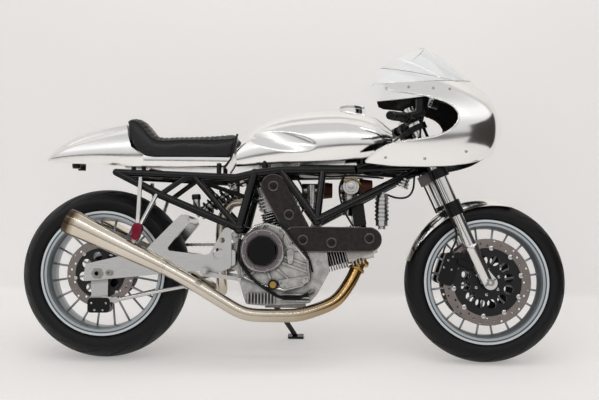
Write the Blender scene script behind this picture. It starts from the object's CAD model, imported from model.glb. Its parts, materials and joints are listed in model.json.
"""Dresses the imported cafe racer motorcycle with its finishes, tyres, seat, chain and small fittings.

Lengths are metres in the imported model's frame. Pieces are laid out in millimetres in the machine's own
upright frame (X forward, Y to the rider's left, Z up, rear axle over zero, ground at zero) and then
leaned with it by Stance.
"""
from __future__ import annotations

import json
import logging
import math
from dataclasses import dataclass
from enum import Enum
from typing import Any, Dict, List, Optional, Sequence, Tuple

import bmesh
import bpy
import numpy as np
from mathutils import Matrix, Vector
from mathutils.bvhtree import BVHTree

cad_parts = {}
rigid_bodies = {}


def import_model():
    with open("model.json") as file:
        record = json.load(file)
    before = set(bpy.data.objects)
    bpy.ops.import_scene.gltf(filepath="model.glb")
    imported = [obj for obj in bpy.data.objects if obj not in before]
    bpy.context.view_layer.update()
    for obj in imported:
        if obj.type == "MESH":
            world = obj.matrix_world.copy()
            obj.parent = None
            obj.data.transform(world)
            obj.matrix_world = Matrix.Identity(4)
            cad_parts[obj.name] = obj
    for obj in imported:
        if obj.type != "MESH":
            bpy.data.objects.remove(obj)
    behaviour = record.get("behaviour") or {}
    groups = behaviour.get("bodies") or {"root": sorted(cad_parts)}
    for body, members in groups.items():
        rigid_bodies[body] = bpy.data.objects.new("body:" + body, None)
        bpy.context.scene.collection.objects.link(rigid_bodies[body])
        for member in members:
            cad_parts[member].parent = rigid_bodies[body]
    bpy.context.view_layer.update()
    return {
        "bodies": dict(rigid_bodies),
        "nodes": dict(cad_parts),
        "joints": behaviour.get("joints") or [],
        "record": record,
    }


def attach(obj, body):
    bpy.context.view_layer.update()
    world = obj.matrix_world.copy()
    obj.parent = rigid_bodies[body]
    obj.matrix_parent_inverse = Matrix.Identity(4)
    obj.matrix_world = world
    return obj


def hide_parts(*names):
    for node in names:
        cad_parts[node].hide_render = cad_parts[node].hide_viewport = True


LOG = logging.getLogger("cafe_racer")
MM = 0.001
TAU = 2.0 * math.pi
SHARP_ANGLE = math.radians(42.0)
Colour = Tuple[float, float, float, float]
Point = Tuple[float, float, float]
MeshArrays = Tuple[np.ndarray, np.ndarray]
Spots = Tuple[np.ndarray, np.ndarray]
Stops = Tuple[Tuple[float, str], ...]
Flat = Tuple[float, float]
Flats = Tuple[Flat, ...]
Points = Tuple[Point, ...]

# Upright places that several classes share, in millimetres
FRONT_AXLE: Point = (1425.0, 0.0, 299.16)
REAR_AXLE: Point = (0.0, 0.0, 315.0)
CRANK: Point = (706.0, 0.0, 368.0)
FILLER_X = 918.0
COVER_BOSSES: Flats = ((985, 453), (848, 436), (744, 445), (634, 640), (692, 536))
CYLINDER_DEG: Dict[str, float] = {"front": 15.0, "rear": 105.0}
RIGHT, LEFT = -1.0, 1.0
HANDS: Tuple[Tuple[str, float], ...] = (("right", RIGHT), ("left", LEFT))

# A noise seldom leaves this range
NOISE_LOW, NOISE_HIGH = 0.3, 0.7
LEAST_ROUGHNESS = 0.03


def linear(hex_code: str) -> Colour:
    """Turns an sRGB hex colour to linear light.

    Args:
        hex_code: Six hex digits, with or without a leading hash.

    Returns:
        Linear red, green, blue and an alpha of one.
    """
    digits = hex_code.lstrip("#")
    parts = [int(digits[i:i + 2], 16) / 255.0 for i in (0, 2, 4)]
    bent = [c / 12.92 if c <= 0.04045 else ((c + 0.055) / 1.055) ** 2.4 for c in parts]
    return (bent[0], bent[1], bent[2], 1.0)


def shaded(colour: Colour, share: float) -> Colour:
    """A linear colour made darker or lighter by a share."""
    return tuple(min(c * share, 1.0) for c in colour[:3]) + (1.0,)


def per_mm(size_mm: float) -> float:
    """Texture scale whose features are about size_mm across, since Object coordinates are metres."""
    return 1000.0 / size_mm


def unit(ways: np.ndarray) -> np.ndarray:
    """Directions scaled to a length of one."""
    return ways / np.linalg.norm(ways, axis=-1, keepdims=True)


def cylinder_way(end: str) -> np.ndarray:
    """Upright direction of the front or rear cylinder, away from the crank."""
    turn = math.radians(CYLINDER_DEG[end])
    return np.array([math.cos(turn), 0.0, math.sin(turn)])


def add(tree: bpy.types.NodeTree, kind: str, values: Optional[Dict[Any, Any]] = None,
        links: Optional[Dict[Any, Any]] = None, **settings: Any) -> bpy.types.Node:
    """Adds one shader node with its settings, socket values and incoming links.

    Args:
        tree: The node tree that gets the node.
        kind: Blender's name of the node type.
        values: Input socket name to fixed value.
        links: Input socket name to the output socket that feeds it.
        settings: Properties of the node itself.

    Returns:
        The new node.
    """
    node = tree.nodes.new(kind)
    for key, value in settings.items():
        setattr(node, key, value)
    for key, value in (values or {}).items():
        node.inputs[key].default_value = value
    for key, source in (links or {}).items():
        tree.links.new(source, node.inputs[key])
    return node


@dataclass(frozen=True)
class Stance:
    """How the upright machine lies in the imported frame."""

    axle: np.ndarray
    fore: np.ndarray
    left: np.ndarray
    up: np.ndarray
    axle_height_mm: float = 315.0

    @classmethod
    def from_joints(cls, joints: Sequence[Dict[str, Any]]) -> "Stance":
        """Reads the rear axle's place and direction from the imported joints.

        Args:
            joints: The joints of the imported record.

        Returns:
            The stance of the machine as packed.
        """
        spin = next(j for j in joints if j["name"] == "rear_wheel_spin")
        left = unit(np.array(spin["axis"], float))
        fore = np.array([1.0, 0.0, 0.0])
        return cls(np.array(spin["pos_m"], float), fore, left, np.cross(fore, left))

    def place(self, points: Any) -> np.ndarray:
        """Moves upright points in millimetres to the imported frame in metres.

        Args:
            points: Array whose last axis is x, y, z.

        Returns:
            Array of the same shape in metres.
        """
        p = np.asarray(points, float) * MM
        z = p[..., 2:3] - self.axle_height_mm * MM
        return self.axle + p[..., 0:1] * self.fore + p[..., 1:2] * self.left + z * self.up

    def turn(self, vectors: Any) -> np.ndarray:
        """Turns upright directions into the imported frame."""
        v = np.asarray(vectors, float)
        return v[..., 0:1] * self.fore + v[..., 1:2] * self.left + v[..., 2:3] * self.up

    def upright(self, points: np.ndarray) -> np.ndarray:
        """Moves packed points back to the upright frame.

        Args:
            points: Rows in metres.

        Returns:
            Rows in upright millimetres.
        """
        apart = points - self.axle
        local = np.stack([apart @ self.fore, apart @ self.left, apart @ self.up], axis=-1) / MM
        return local + np.array([0.0, 0.0, self.axle_height_mm])


class Body(Enum):
    """The bodies that pieces ride on."""

    CHASSIS = "chassis"
    STEERING = "steering"
    FRONT_WHEEL = "front_wheel_body"
    REAR_WHEEL = "rear_wheel_body"
    CAP = "fuel_cap_body"


# Finishes


def begin(name: str) -> Tuple[bpy.types.Material, bpy.types.NodeTree, bpy.types.Node, Any]:
    """Starts a node material.

    Args:
        name: Name of the material.

    Returns:
        The material, its tree, its main shader and the Object coordinate socket.
    """
    material = bpy.data.materials.new(name)
    material.use_nodes = True
    tree = material.node_tree
    shader = tree.nodes["Principled BSDF"]
    coords = add(tree, "ShaderNodeTexCoord").outputs["Object"]
    return material, tree, shader, coords


def noise(tree: bpy.types.NodeTree, coords: Any, size_mm: float, detail: float = 3.0) -> Any:
    """Adds a noise.

    Args:
        tree: The node tree.
        coords: Socket that gives the place.
        size_mm: About how wide its patches are.
        detail: How many finer layers it has.

    Returns:
        The socket of its value.
    """
    values = {"Scale": per_mm(size_mm), "Detail": detail}
    return add(tree, "ShaderNodeTexNoise", values, {"Vector": coords}).outputs["Fac"]


def spread(tree: bpy.types.NodeTree, source: Any, low: float, high: float) -> Any:
    """Spreads the middle of a noise over a low and a high value.

    Args:
        tree: The node tree.
        source: Socket of the noise.
        low: Value at its dark patches.
        high: Value at its bright patches.

    Returns:
        The socket of the spread value.
    """
    values = {"From Min": NOISE_LOW, "From Max": NOISE_HIGH, "To Min": low, "To Max": high}
    return add(tree, "ShaderNodeMapRange", values, {"Value": source}).outputs["Result"]


def relief(tree: bpy.types.NodeTree, height: Any, strength: float, depth_mm: float) -> Any:
    """Turns a height into a bumped normal.

    Args:
        tree: The node tree.
        height: Socket of the height.
        strength: Share of the bump that shows.
        depth_mm: Depth of the bump.

    Returns:
        The socket of the normal.
    """
    values = {"Strength": strength, "Distance": depth_mm * MM}
    return add(tree, "ShaderNodeBump", values, {"Height": height}).outputs["Normal"]


def step(tree: bpy.types.NodeTree, operation: str, values: Optional[Dict[int, Any]] = None,
         links: Optional[Dict[int, Any]] = None, **settings: Any) -> Any:
    """Adds one step of arithmetic on numbers.

    Args:
        tree: The node tree.
        operation: Blender's name of the step.
        values: Input number to fixed value.
        links: Input number to the socket that feeds it.
        settings: Other properties of the node.

    Returns:
        The socket of the result.
    """
    return add(tree, "ShaderNodeMath", values, links, operation=operation, **settings).outputs["Value"]


def vector_step(tree: bpy.types.NodeTree, operation: str, source: Any, other: Optional[Point] = None,
                result: str = "Vector") -> Any:
    """Adds one step of arithmetic on vectors.

    Args:
        tree: The node tree.
        operation: Blender's name of the step.
        source: Socket of the first vector.
        other: The second vector, where the step has one.
        result: Which output is wanted.

    Returns:
        The socket of the result.
    """
    values = {} if other is None else {1: other}
    return add(tree, "ShaderNodeVectorMath", values, {0: source}, operation=operation).outputs[result]


def share_of(tree: bpy.types.NodeTree, source: Any, whole: float) -> Any:
    """Share that a value has of a whole, from nought to one."""
    return add(tree, "ShaderNodeMapRange", {"From Max": whole}, {"Value": source}).outputs["Result"]


def ramp(tree: bpy.types.NodeTree, source: Any, stops: Sequence[Tuple[float, Colour]]) -> Any:
    """Adds a colour ramp over a value.

    Args:
        tree: The node tree.
        source: Socket that gives the value.
        stops: Positions and linear colours.

    Returns:
        The ramp's colour socket.
    """
    node = add(tree, "ShaderNodeValToRGB", links={"Fac": source})
    elements = node.color_ramp.elements
    while len(elements) < len(stops):
        elements.new(0.5)
    for element, (position, colour) in zip(elements, stops):
        element.position = position
        element.color = colour
    return node.outputs["Color"]


def feed(tree: bpy.types.NodeTree, shader: bpy.types.Node, **sources: Any) -> None:
    """Links sockets to the main shader and sets its plain values.

    Args:
        tree: The node tree.
        shader: The main shader.
        sources: Input name, written with underscores, to a socket, a number or a colour.
    """
    for name, source in sources.items():
        socket = shader.inputs[name.replace("_", " ")]
        if isinstance(source, bpy.types.NodeSocket):
            tree.links.new(source, socket)
        else:
            socket.default_value = source


@dataclass(frozen=True)
class MetalFinish:
    """Bare or anodised metal: bright base, cloudy polish, a fine surface grain and dirt in its corners."""

    name: str
    hex_code: str
    roughness: float
    cloud_mm: float = 60.0
    cloud: float = 0.03
    grain_mm: float = 1.2
    grain: float = 0.04
    grain_depth_mm: float = 0.6
    shade: float = 0.05
    grime: float = 0.0
    grime_hex: str = "#1c1917"
    grime_reach_mm: float = 24.0

    def build(self) -> bpy.types.Material:
        """Makes the material.

        Returns:
            A metal whose roughness drifts with a wide noise and whose normal carries a fine grain.
        """
        material, tree, shader, coords = begin(self.name)
        clouds = noise(tree, coords, self.cloud_mm)
        base = linear(self.hex_code)
        colour = ramp(tree, clouds, [(0.35, shaded(base, 1.0 - self.shade)), (0.65, base)])
        if self.grime > 0.0:
            reach = {"Distance": self.grime_reach_mm * MM}
            corner = add(tree, "ShaderNodeAmbientOcclusion", reach, samples=12)
            stops = [(0.35, linear(self.grime_hex)), (0.92, linear("#ffffff"))]
            dirt = ramp(tree, corner.outputs["AO"], stops)
            colour = add(tree, "ShaderNodeMix", {0: self.grime}, {6: colour, 7: dirt}, data_type="RGBA",
                         blend_type="MULTIPLY").outputs[2]
        smoothest = max(self.roughness - self.cloud, LEAST_ROUGHNESS)
        rough = spread(tree, clouds, smoothest, self.roughness + self.cloud)
        normal = relief(tree, noise(tree, coords, self.grain_mm, 2.0), self.grain, self.grain_depth_mm)
        feed(tree, shader, Base_Color=colour, Roughness=rough, Normal=normal, Metallic=1.0)
        return material


@dataclass(frozen=True)
class BrushedFinish:
    """Alloy brushed along the machine: streaks drawn out in X break up its gloss."""

    name: str
    hex_code: str
    roughness: float
    streak_mm: float = 1.4
    stretch: float = 30.0

    def build(self) -> bpy.types.Material:
        """Makes the material.

        Returns:
            A metal whose noise is squeezed along X, so that it runs in long fine lines.
        """
        material, tree, shader, coords = begin(self.name)
        scale = (1.0 / self.stretch, 1.0, 1.0)
        squeeze = add(tree, "ShaderNodeMapping", {"Scale": scale}, {"Vector": coords})
        streaks = noise(tree, squeeze.outputs["Vector"], self.streak_mm)
        base = linear(self.hex_code)
        colour = ramp(tree, streaks, [(NOISE_LOW, shaded(base, 0.86)), (NOISE_HIGH, base)])
        rough = spread(tree, streaks, self.roughness * 0.8, self.roughness * 1.2)
        normal = relief(tree, streaks, 0.05, 0.3)
        feed(tree, shader, Base_Color=colour, Roughness=rough, Normal=normal, Metallic=1.0)
        return material


@dataclass(frozen=True)
class PaintFinish:
    """Paint, powder coat, rubber or moulded plastic: a coloured base with orange peel and a coat."""

    name: str
    hex_code: str
    roughness: float
    peel_mm: float = 2.0
    peel: float = 0.06
    peel_depth_mm: float = 0.8
    coat: float = 0.0
    coat_roughness: float = 0.08
    mottle: float = 0.15
    mottle_mm: float = 35.0
    specular: float = 0.5

    def build(self) -> bpy.types.Material:
        """Makes the material.

        Returns:
            A dielectric whose colour mottles slightly and whose normal carries the peel or grain.
        """
        material, tree, shader, coords = begin(self.name)
        patch = noise(tree, coords, self.mottle_mm, 4.0)
        base = linear(self.hex_code)
        colour = ramp(tree, patch, [(NOISE_LOW, shaded(base, 1.0 - self.mottle)), (NOISE_HIGH, base)])
        rough = spread(tree, patch, self.roughness * 0.85, self.roughness * 1.15)
        normal = relief(tree, noise(tree, coords, self.peel_mm, 2.0), self.peel, self.peel_depth_mm)
        feed(tree, shader, Base_Color=colour, Roughness=rough, Normal=normal, Coat_Weight=self.coat,
             Coat_Roughness=self.coat_roughness, Specular_IOR_Level=self.specular)
        return material


@dataclass(frozen=True)
class LeatherFinish:
    """Black upholstery hide: pebbled grain from a cell pattern, with polished high spots."""

    name: str = "black_hide"
    hex_code: str = "#0e0e10"
    grain_mm: float = 3.0
    wear_mm: float = 70.0
    specular: float = 0.32

    def build(self) -> bpy.types.Material:
        """Makes the material.

        Returns:
            Leather whose bump is a cell pattern, drawn coarser than life so that it shows.
        """
        material, tree, shader, coords = begin(self.name)
        values = {"Scale": per_mm(self.grain_mm), "Randomness": 0.9}
        cells = add(tree, "ShaderNodeTexVoronoi", values, {"Vector": coords})
        wear = noise(tree, coords, self.wear_mm, 4.0)
        base = linear(self.hex_code)
        colour = ramp(tree, wear, [(0.4, base), (0.75, shaded(base, 1.9))])
        normal = relief(tree, cells.outputs["Distance"], 0.2, 0.8)
        feed(tree, shader, Base_Color=colour, Roughness=spread(tree, wear, 0.26, 0.38), Normal=normal,
             Specular_IOR_Level=self.specular)
        return material


@dataclass(frozen=True)
class AlongFinish:
    """Metal whose colour runs along a line, as heat tint on a pipe or paint on barrel fins."""

    name: str
    start: Point
    way: Point
    length: float
    stops: Stops
    roughness: float
    drift: float
    blotch_mm: float = 45.0
    grain_mm: float = 1.4

    def build(self) -> bpy.types.Material:
        """Makes the material.

        Returns:
            A metal whose colour follows the distance from start along way, shifted a little by a noise.
        """
        material, tree, shader, coords = begin(self.name)
        apart = vector_step(tree, "SUBTRACT", coords, self.start)
        along = vector_step(tree, "DOT_PRODUCT", apart, self.way, "Value")
        share = share_of(tree, along, self.length)
        blotch = noise(tree, coords, self.blotch_mm)
        shift = step(tree, "MULTIPLY_ADD", {1: self.drift}, {0: blotch, 2: share})
        colour = ramp(tree, shift, [(p, linear(h)) for p, h in self.stops])
        rough = spread(tree, blotch, self.roughness * 0.8, self.roughness * 1.25)
        normal = relief(tree, noise(tree, coords, self.grain_mm, 2.0), 0.05, 0.5)
        feed(tree, shader, Base_Color=colour, Roughness=rough, Normal=normal, Metallic=1.0)
        return material


@dataclass(frozen=True)
class RadialFinish:
    """Paint or metal told apart by distance from an axle, with dark parts far out along it."""

    name: str
    centre: Point
    axis: Point
    reach: float
    stops: Stops
    metallic: float = 0.55
    roughness: float = 0.32
    side: float = 9.0
    side_hex: str = "#19191b"
    flake_mm: float = 1.5
    coat: float = 0.12

    def build(self) -> bpy.types.Material:
        """Makes the material.

        Returns:
            A finish whose ramp runs over the distance from the axle, and which turns dark past side.
        """
        material, tree, shader, coords = begin(self.name)
        apart = vector_step(tree, "SUBTRACT", coords, self.centre)
        across = vector_step(tree, "CROSS_PRODUCT", apart, self.axis)
        share = share_of(tree, vector_step(tree, "LENGTH", across, None, "Value"), self.reach)
        colour = ramp(tree, share, [(p, linear(h)) for p, h in self.stops])
        along = vector_step(tree, "DOT_PRODUCT", apart, self.axis, "Value")
        outside = step(tree, "GREATER_THAN", {1: self.side}, {0: step(tree, "ABSOLUTE", links={0: along})})
        dark = linear(self.side_hex)
        mixed = add(tree, "ShaderNodeMix", {7: dark}, {0: outside, 6: colour}, data_type="RGBA")
        flake = noise(tree, coords, self.flake_mm, 2.0)
        rough = spread(tree, flake, self.roughness * 0.9, self.roughness * 1.1)
        normal = relief(tree, flake, 0.04, 0.5)
        feed(tree, shader, Base_Color=mixed.outputs[2], Roughness=rough, Normal=normal,
             Metallic=self.metallic, Coat_Weight=self.coat)
        return material


@dataclass(frozen=True)
class ClearFinish:
    """Clear acrylic or lamp glass."""

    name: str
    hex_code: str
    ior: float
    roughness: float = 0.01
    rub: float = 0.025
    rub_mm: float = 25.0

    def build(self) -> bpy.types.Material:
        """Makes the material.

        Returns:
            A clear solid with faint rub marks in its gloss.
        """
        material, tree, shader, coords = begin(self.name)
        marks = noise(tree, coords, self.rub_mm, 5.0)
        rough = spread(tree, marks, self.roughness, self.roughness + self.rub)
        feed(tree, shader, Roughness=rough, Base_Color=linear(self.hex_code), IOR=self.ior,
             Transmission_Weight=1.0)
        return material


@dataclass(frozen=True)
class GauzeFinish:
    """Woven wire, drawn as two crossed bands."""

    name: str
    low_hex: str
    high_hex: str
    pitch_mm: float = 4.0
    metallic: float = 0.6
    roughness: float = 0.42

    def build(self) -> bpy.types.Material:
        """Makes the material.

        Returns:
            A weave whose height is the product of two sine bands at the wire pitch.
        """
        material, tree, shader, coords = begin(self.name)
        values = {"Scale": per_mm(self.pitch_mm) / TAU * 2.0, "Distortion": 0.4}
        waves = [add(tree, "ShaderNodeTexWave", values, {"Vector": coords}, bands_direction=way)
                 for way in ("X", "Z")]
        height = step(tree, "MULTIPLY", links={i: wave.outputs["Fac"] for i, wave in enumerate(waves)})
        colour = ramp(tree, height, [(0.05, linear(self.low_hex)), (0.6, linear(self.high_hex))])
        feed(tree, shader, Base_Color=colour, Normal=relief(tree, height, 0.8, 1.0), Metallic=self.metallic,
             Roughness=self.roughness)
        return material


# Mesh makers


def to_object(name: str, points: np.ndarray, faces: np.ndarray, smooth: bool = True) -> bpy.types.Object:
    """Puts arrays into a mesh object at the origin.

    Args:
        name: Name of the piece.
        points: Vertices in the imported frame, in metres, one per row.
        faces: Vertex numbers of each quad; a quad with two corners in one place becomes a triangle.
        smooth: Whether faces shade smoothly.

    Returns:
        The linked object, its faces turned outwards.
    """
    mesh = bpy.data.meshes.new(name)
    mesh.from_pydata(points.reshape(-1, 3).tolist(), [], faces.tolist())
    work = bmesh.new()
    work.from_mesh(mesh)
    bmesh.ops.remove_doubles(work, verts=work.verts, dist=2e-6)
    bmesh.ops.recalc_face_normals(work, faces=work.faces)
    work.to_mesh(mesh)
    work.free()
    mesh.polygons.foreach_set("use_smooth", np.full(len(mesh.polygons), smooth))
    mesh.set_sharp_from_angle(angle=SHARP_ANGLE)
    mesh.update()
    piece = bpy.data.objects.new(name, mesh)
    bpy.context.scene.collection.objects.link(piece)
    return piece


def vertices(mesh: bpy.types.Mesh, field: str = "co") -> np.ndarray:
    """Reads a mesh's vertex places or normals.

    Args:
        mesh: The mesh.
        field: co for places, normal for normals.

    Returns:
        One row per vertex.
    """
    rows = np.empty(len(mesh.vertices) * 3)
    mesh.vertices.foreach_get(field, rows)
    return rows.reshape(-1, 3)


def grid_faces(rows: int, cols: int, wrap_rows: bool, wrap_cols: bool) -> np.ndarray:
    """Quads between neighbours of a rows by cols grid.

    Args:
        rows: Points along the first parameter.
        cols: Points along the second parameter.
        wrap_rows: Whether the last row joins the first.
        wrap_cols: Whether the last column joins the first.

    Returns:
        Vertex numbers of each quad, one quad per row.
    """
    index = np.arange(rows * cols).reshape(rows, cols)
    if wrap_rows:
        index = np.vstack([index, index[:1]])
    if wrap_cols:
        index = np.hstack([index, index[:, :1]])
    quads = np.stack([index[:-1, :-1], index[:-1, 1:], index[1:, 1:], index[1:, :-1]], axis=-1)
    return quads.reshape(-1, 4)


def capped(rings: np.ndarray) -> np.ndarray:
    """Closes a stack of rings: a first and a last ring shrink to the middle of the end rings.

    Args:
        rings: Array of rings, points and coordinates.

    Returns:
        The rings with a point-sized ring added at each end.
    """
    ends = [np.broadcast_to(rings[i].mean(axis=0), rings[i].shape)[None] for i in (0, -1)]
    return np.concatenate([ends[0], rings, ends[1]])


def lathe(profile: Sequence[Flat], sides: int) -> MeshArrays:
    """Turns a profile about Z: a point at radius r and height h goes to (r cos a, r sin a, h).

    Args:
        profile: Rows of radius and height.
        sides: Number of steps round.

    Returns:
        Vertices and quads of the turned surface.
    """
    rows = np.asarray(profile, float)
    angle = np.linspace(0.0, TAU, sides, endpoint=False)
    ring = np.stack([np.cos(angle), np.sin(angle)], axis=-1)
    flat = rows[:, None, 0:1] * ring[None]
    height = np.broadcast_to(rows[:, None, 1:2], flat.shape[:2] + (1,))
    points = np.concatenate([flat, height], axis=-1).reshape(-1, 3)
    return points, grid_faces(len(rows), sides, False, True)


def bar_of(outline: np.ndarray, low: float, high: float) -> MeshArrays:
    """Carries a closed outline in X and Z from one Y to another and closes both ends.

    Args:
        outline: Rows of x and z.
        low: First lateral place.
        high: Last lateral place.

    Returns:
        Vertices and quads of the bar.
    """
    rings = np.stack([np.insert(outline, 1, y, axis=1) for y in (low, high)])
    closed = capped(rings)
    return closed.reshape(-1, 3), grid_faces(4, len(outline), False, True)


def frames(origins: np.ndarray, ways: np.ndarray) -> np.ndarray:
    """Axes for copies: the local Z goes along each way and the local X is any direction square to it.

    Args:
        origins: Places of the copies.
        ways: Directions of their local Z.

    Returns:
        Array of 3 by 4 matrices.
    """
    z = unit(ways)
    helper = np.where(np.abs(z[:, :1]) < 0.8, np.array([[1.0, 0.0, 0.0]]), np.array([[0.0, 0.0, 1.0]]))
    x = unit(np.cross(helper, z))
    return np.stack([x, np.cross(z, x), z, origins], axis=-1)


def copies(mesh: MeshArrays, mats: np.ndarray) -> MeshArrays:
    """Joins moved copies of one small mesh: each copy is the matrix's axes times the points plus its place.

    Args:
        mesh: Vertices and quads of the small mesh.
        mats: Array of 3 by 4 matrices.

    Returns:
        Vertices and quads of all the copies.
    """
    points, faces = mesh
    moved = np.einsum("kij,nj->kni", mats[:, :, :3], points) + mats[:, None, :, 3]
    shift = (np.arange(len(mats)) * len(points))[:, None, None]
    return moved.reshape(-1, 3), (faces[None] + shift).reshape(-1, 4)


def merged(parts: Sequence[MeshArrays]) -> MeshArrays:
    """Puts several meshes into one pair of arrays.

    Args:
        parts: Vertices and quads of each mesh.

    Returns:
        Vertices and quads of them all.
    """
    starts = np.cumsum([0] + [len(p) for p, _ in parts[:-1]])
    faces = np.vstack([f + s for (_, f), s in zip(parts, starts)])
    return np.vstack([p for p, _ in parts]), faces


def smooth_path(points: Sequence[Point], count: int) -> np.ndarray:
    """Runs a smooth curve through points: each span is a cubic with slopes from its neighbours.

    Args:
        points: Places that the curve passes.
        count: Points on the finished curve.

    Returns:
        The curve as rows.
    """
    knots = np.asarray(points, float)
    slopes = np.gradient(knots, axis=0)
    t = np.linspace(0.0, len(knots) - 1.0, count)
    cell = np.minimum(t.astype(int), len(knots) - 2)
    u = (t - cell)[:, None]
    a, b, da, db = knots[cell], knots[cell + 1], slopes[cell], slopes[cell + 1]
    rise = u * u * (3.0 - 2.0 * u)
    return a + (b - a) * rise + da * (u * (1 - u) ** 2) + db * (u * u * (u - 1))


def tube(path: np.ndarray, radius: Any, sides: int = 14) -> MeshArrays:
    """Carries a circle along a path: each ring lies square to the path's own direction.

    Args:
        path: Points along the middle.
        radius: One radius or one for each point.
        sides: Steps round the circle.

    Returns:
        Vertices and quads, with both ends closed.
    """
    way = unit(np.gradient(path, axis=0))
    helper = np.eye(3)[int(np.argmin(np.abs(way).max(axis=0)))]
    side = unit(np.cross(way, helper))
    rise = np.cross(side, way)
    angle = np.linspace(0.0, TAU, sides, endpoint=False)[None, :, None]
    reach = np.broadcast_to(np.asarray(radius, float), (len(path),))[:, None, None]
    rings = path[:, None] + reach * (np.cos(angle) * side[:, None] + np.sin(angle) * rise[:, None])
    return capped(rings).reshape(-1, 3), grid_faces(len(path) + 2, sides, False, True)


def arc(first: np.ndarray, middle: np.ndarray, last: np.ndarray, count: int) -> np.ndarray:
    """Circles through three points: the centre lies on both bisectors, and the angle steps evenly.

    Args:
        first: Where each arc starts, as rows of two coordinates.
        middle: A point on each arc.
        last: Where each arc ends.
        count: Points on each arc.

    Returns:
        Array of arcs, points and two coordinates.
    """
    corners = (first, middle, last)
    sides = (middle - last, last - first, first - middle)
    squares = [(p * p).sum(axis=1) for p in corners]
    scale = 2.0 * sum(p[:, 0] * s[:, 1] for p, s in zip(corners, sides))
    across = sum(q * s[:, 1] for q, s in zip(squares, sides)) / scale
    rise = -sum(q * s[:, 0] for q, s in zip(squares, sides)) / scale
    centre = np.stack([across, rise], axis=-1)
    radius = np.linalg.norm(first - centre, axis=1)[:, None, None]
    start, _, end = np.unwrap([np.arctan2(p[:, 1] - rise, p[:, 0] - across) for p in corners], axis=0)
    turn = start[:, None] + (end - start)[:, None] * np.linspace(0.0, 1.0, count)
    return centre[:, None] + radius * np.stack([np.cos(turn), np.sin(turn)], axis=-1)


def section_rings(rows: np.ndarray, side: int, top: int) -> np.ndarray:
    """Body sections from the right floor edge over the top to the left: two side arcs and a crown arc.

    Args:
        rows: Per station x, floor, half width, middle height, half width, shoulder, half width and crown.
        side: Points on each side arc.
        top: Points on the crown arc.

    Returns:
        Array of stations, points and coordinates.
    """
    x, low_z, low, mid_z, mid, top_z, top_half, crown = rows.T
    mirror = np.array([-1.0, 1.0])
    shoulder = np.stack([top_half, top_z], axis=-1)
    flank = arc(np.stack([low, low_z], axis=-1), np.stack([mid, mid_z], axis=-1), shoulder, side)
    over = arc(shoulder, np.stack([np.zeros_like(x), crown], axis=-1), shoulder * mirror, top)
    ring = np.concatenate([flank * mirror, over[:, -2:0:-1], flank[:, ::-1]], axis=1)
    station = np.broadcast_to(x[:, None, None], ring.shape[:2] + (1,))
    return np.concatenate([station, ring], axis=-1)


def within(spots: np.ndarray, outline: np.ndarray) -> np.ndarray:
    """Tells which spots lie in a closed outline: a ray from them crosses it an odd number of times.

    Args:
        spots: Rows of two coordinates.
        outline: Rows of two coordinates.

    Returns:
        One truth value per spot.
    """
    start, end = outline, np.roll(outline, -1, axis=0)
    rise = end[:, 1] - start[:, 1]
    share = (spots[:, None, 1] - start[:, 1]) / np.where(rise == 0.0, 1e-9, rise)
    spans = (start[:, 1] > spots[:, None, 1]) != (end[:, 1] > spots[:, None, 1])
    crossing = start[:, 0] + share * (end[:, 0] - start[:, 0])
    return (spans & (spots[:, None, 0] < crossing)).sum(axis=1) % 2 == 1


def drawn_to(spots: np.ndarray, outline: np.ndarray) -> np.ndarray:
    """Finds the nearest place on a closed outline for each spot.

    Args:
        spots: Rows of two coordinates.
        outline: Rows of two coordinates.

    Returns:
        Rows of two coordinates on the outline.
    """
    way = np.roll(outline, -1, axis=0) - outline
    share = ((spots[:, None] - outline) * way).sum(axis=-1) / np.maximum((way * way).sum(axis=-1), 1e-9)
    near = outline + np.clip(share, 0.0, 1.0)[..., None] * way
    best = np.argmin(((spots[:, None] - near) ** 2).sum(axis=-1), axis=1)
    return near[np.arange(len(spots)), best]


def capsule(first: Flat, first_r: float, last: Flat, last_r: float) -> np.ndarray:
    """Outline round two circles: an arc on the far side of each, joined by their common tangents.

    Args:
        first: Middle of the first circle.
        first_r: Its radius.
        last: Middle of the last circle.
        last_r: Its radius.

    Returns:
        Rows of two coordinates.
    """
    way = np.array(last, float) - np.array(first, float)
    tilt = math.atan2(way[1], way[0])
    lean = math.acos((first_r - last_r) / float(np.linalg.norm(way)))
    rows = []
    for spot, radius, start, end in ((first, first_r, tilt + lean, tilt - lean + TAU),
                                     (last, last_r, tilt - lean, tilt + lean)):
        turn = np.linspace(start, end, 24)
        rows.append(np.array(spot) + radius * np.stack([np.cos(turn), np.sin(turn)], axis=-1))
    return np.vstack(rows)


def run_length(path: np.ndarray) -> np.ndarray:
    """Distance along a path from its first point to each of its points."""
    return np.concatenate([[0.0], np.cumsum(np.linalg.norm(np.diff(path, axis=0), axis=1))])


def even_steps(path: np.ndarray, count: int, to_end: bool = True) -> np.ndarray:
    """Places points at even steps along a path of straights.

    Args:
        path: Corners of the path.
        count: How many points.
        to_end: Whether the last point is the path's end.

    Returns:
        One row per point.
    """
    run = run_length(path)
    mark = np.linspace(0.0, run[-1], count, endpoint=to_end)
    return np.stack([np.interp(mark, run, column) for column in path.T], axis=-1)


def soft_loop(corners: Sequence[Flat], count: int, soften: int) -> np.ndarray:
    """Closed loop through corners: even steps along the sides, then neighbours averaged.

    Args:
        corners: Rows of two coordinates.
        count: Points on the loop.
        soften: How many times neighbours are averaged.

    Returns:
        Rows of two coordinates, without the first repeated.
    """
    loop = even_steps(np.vstack([corners, corners[:1]]).astype(float), count, False)
    for _ in range(soften):
        loop = (np.roll(loop, 1, axis=0) + 2.0 * loop + np.roll(loop, -1, axis=0)) / 4.0
    return loop


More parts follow.
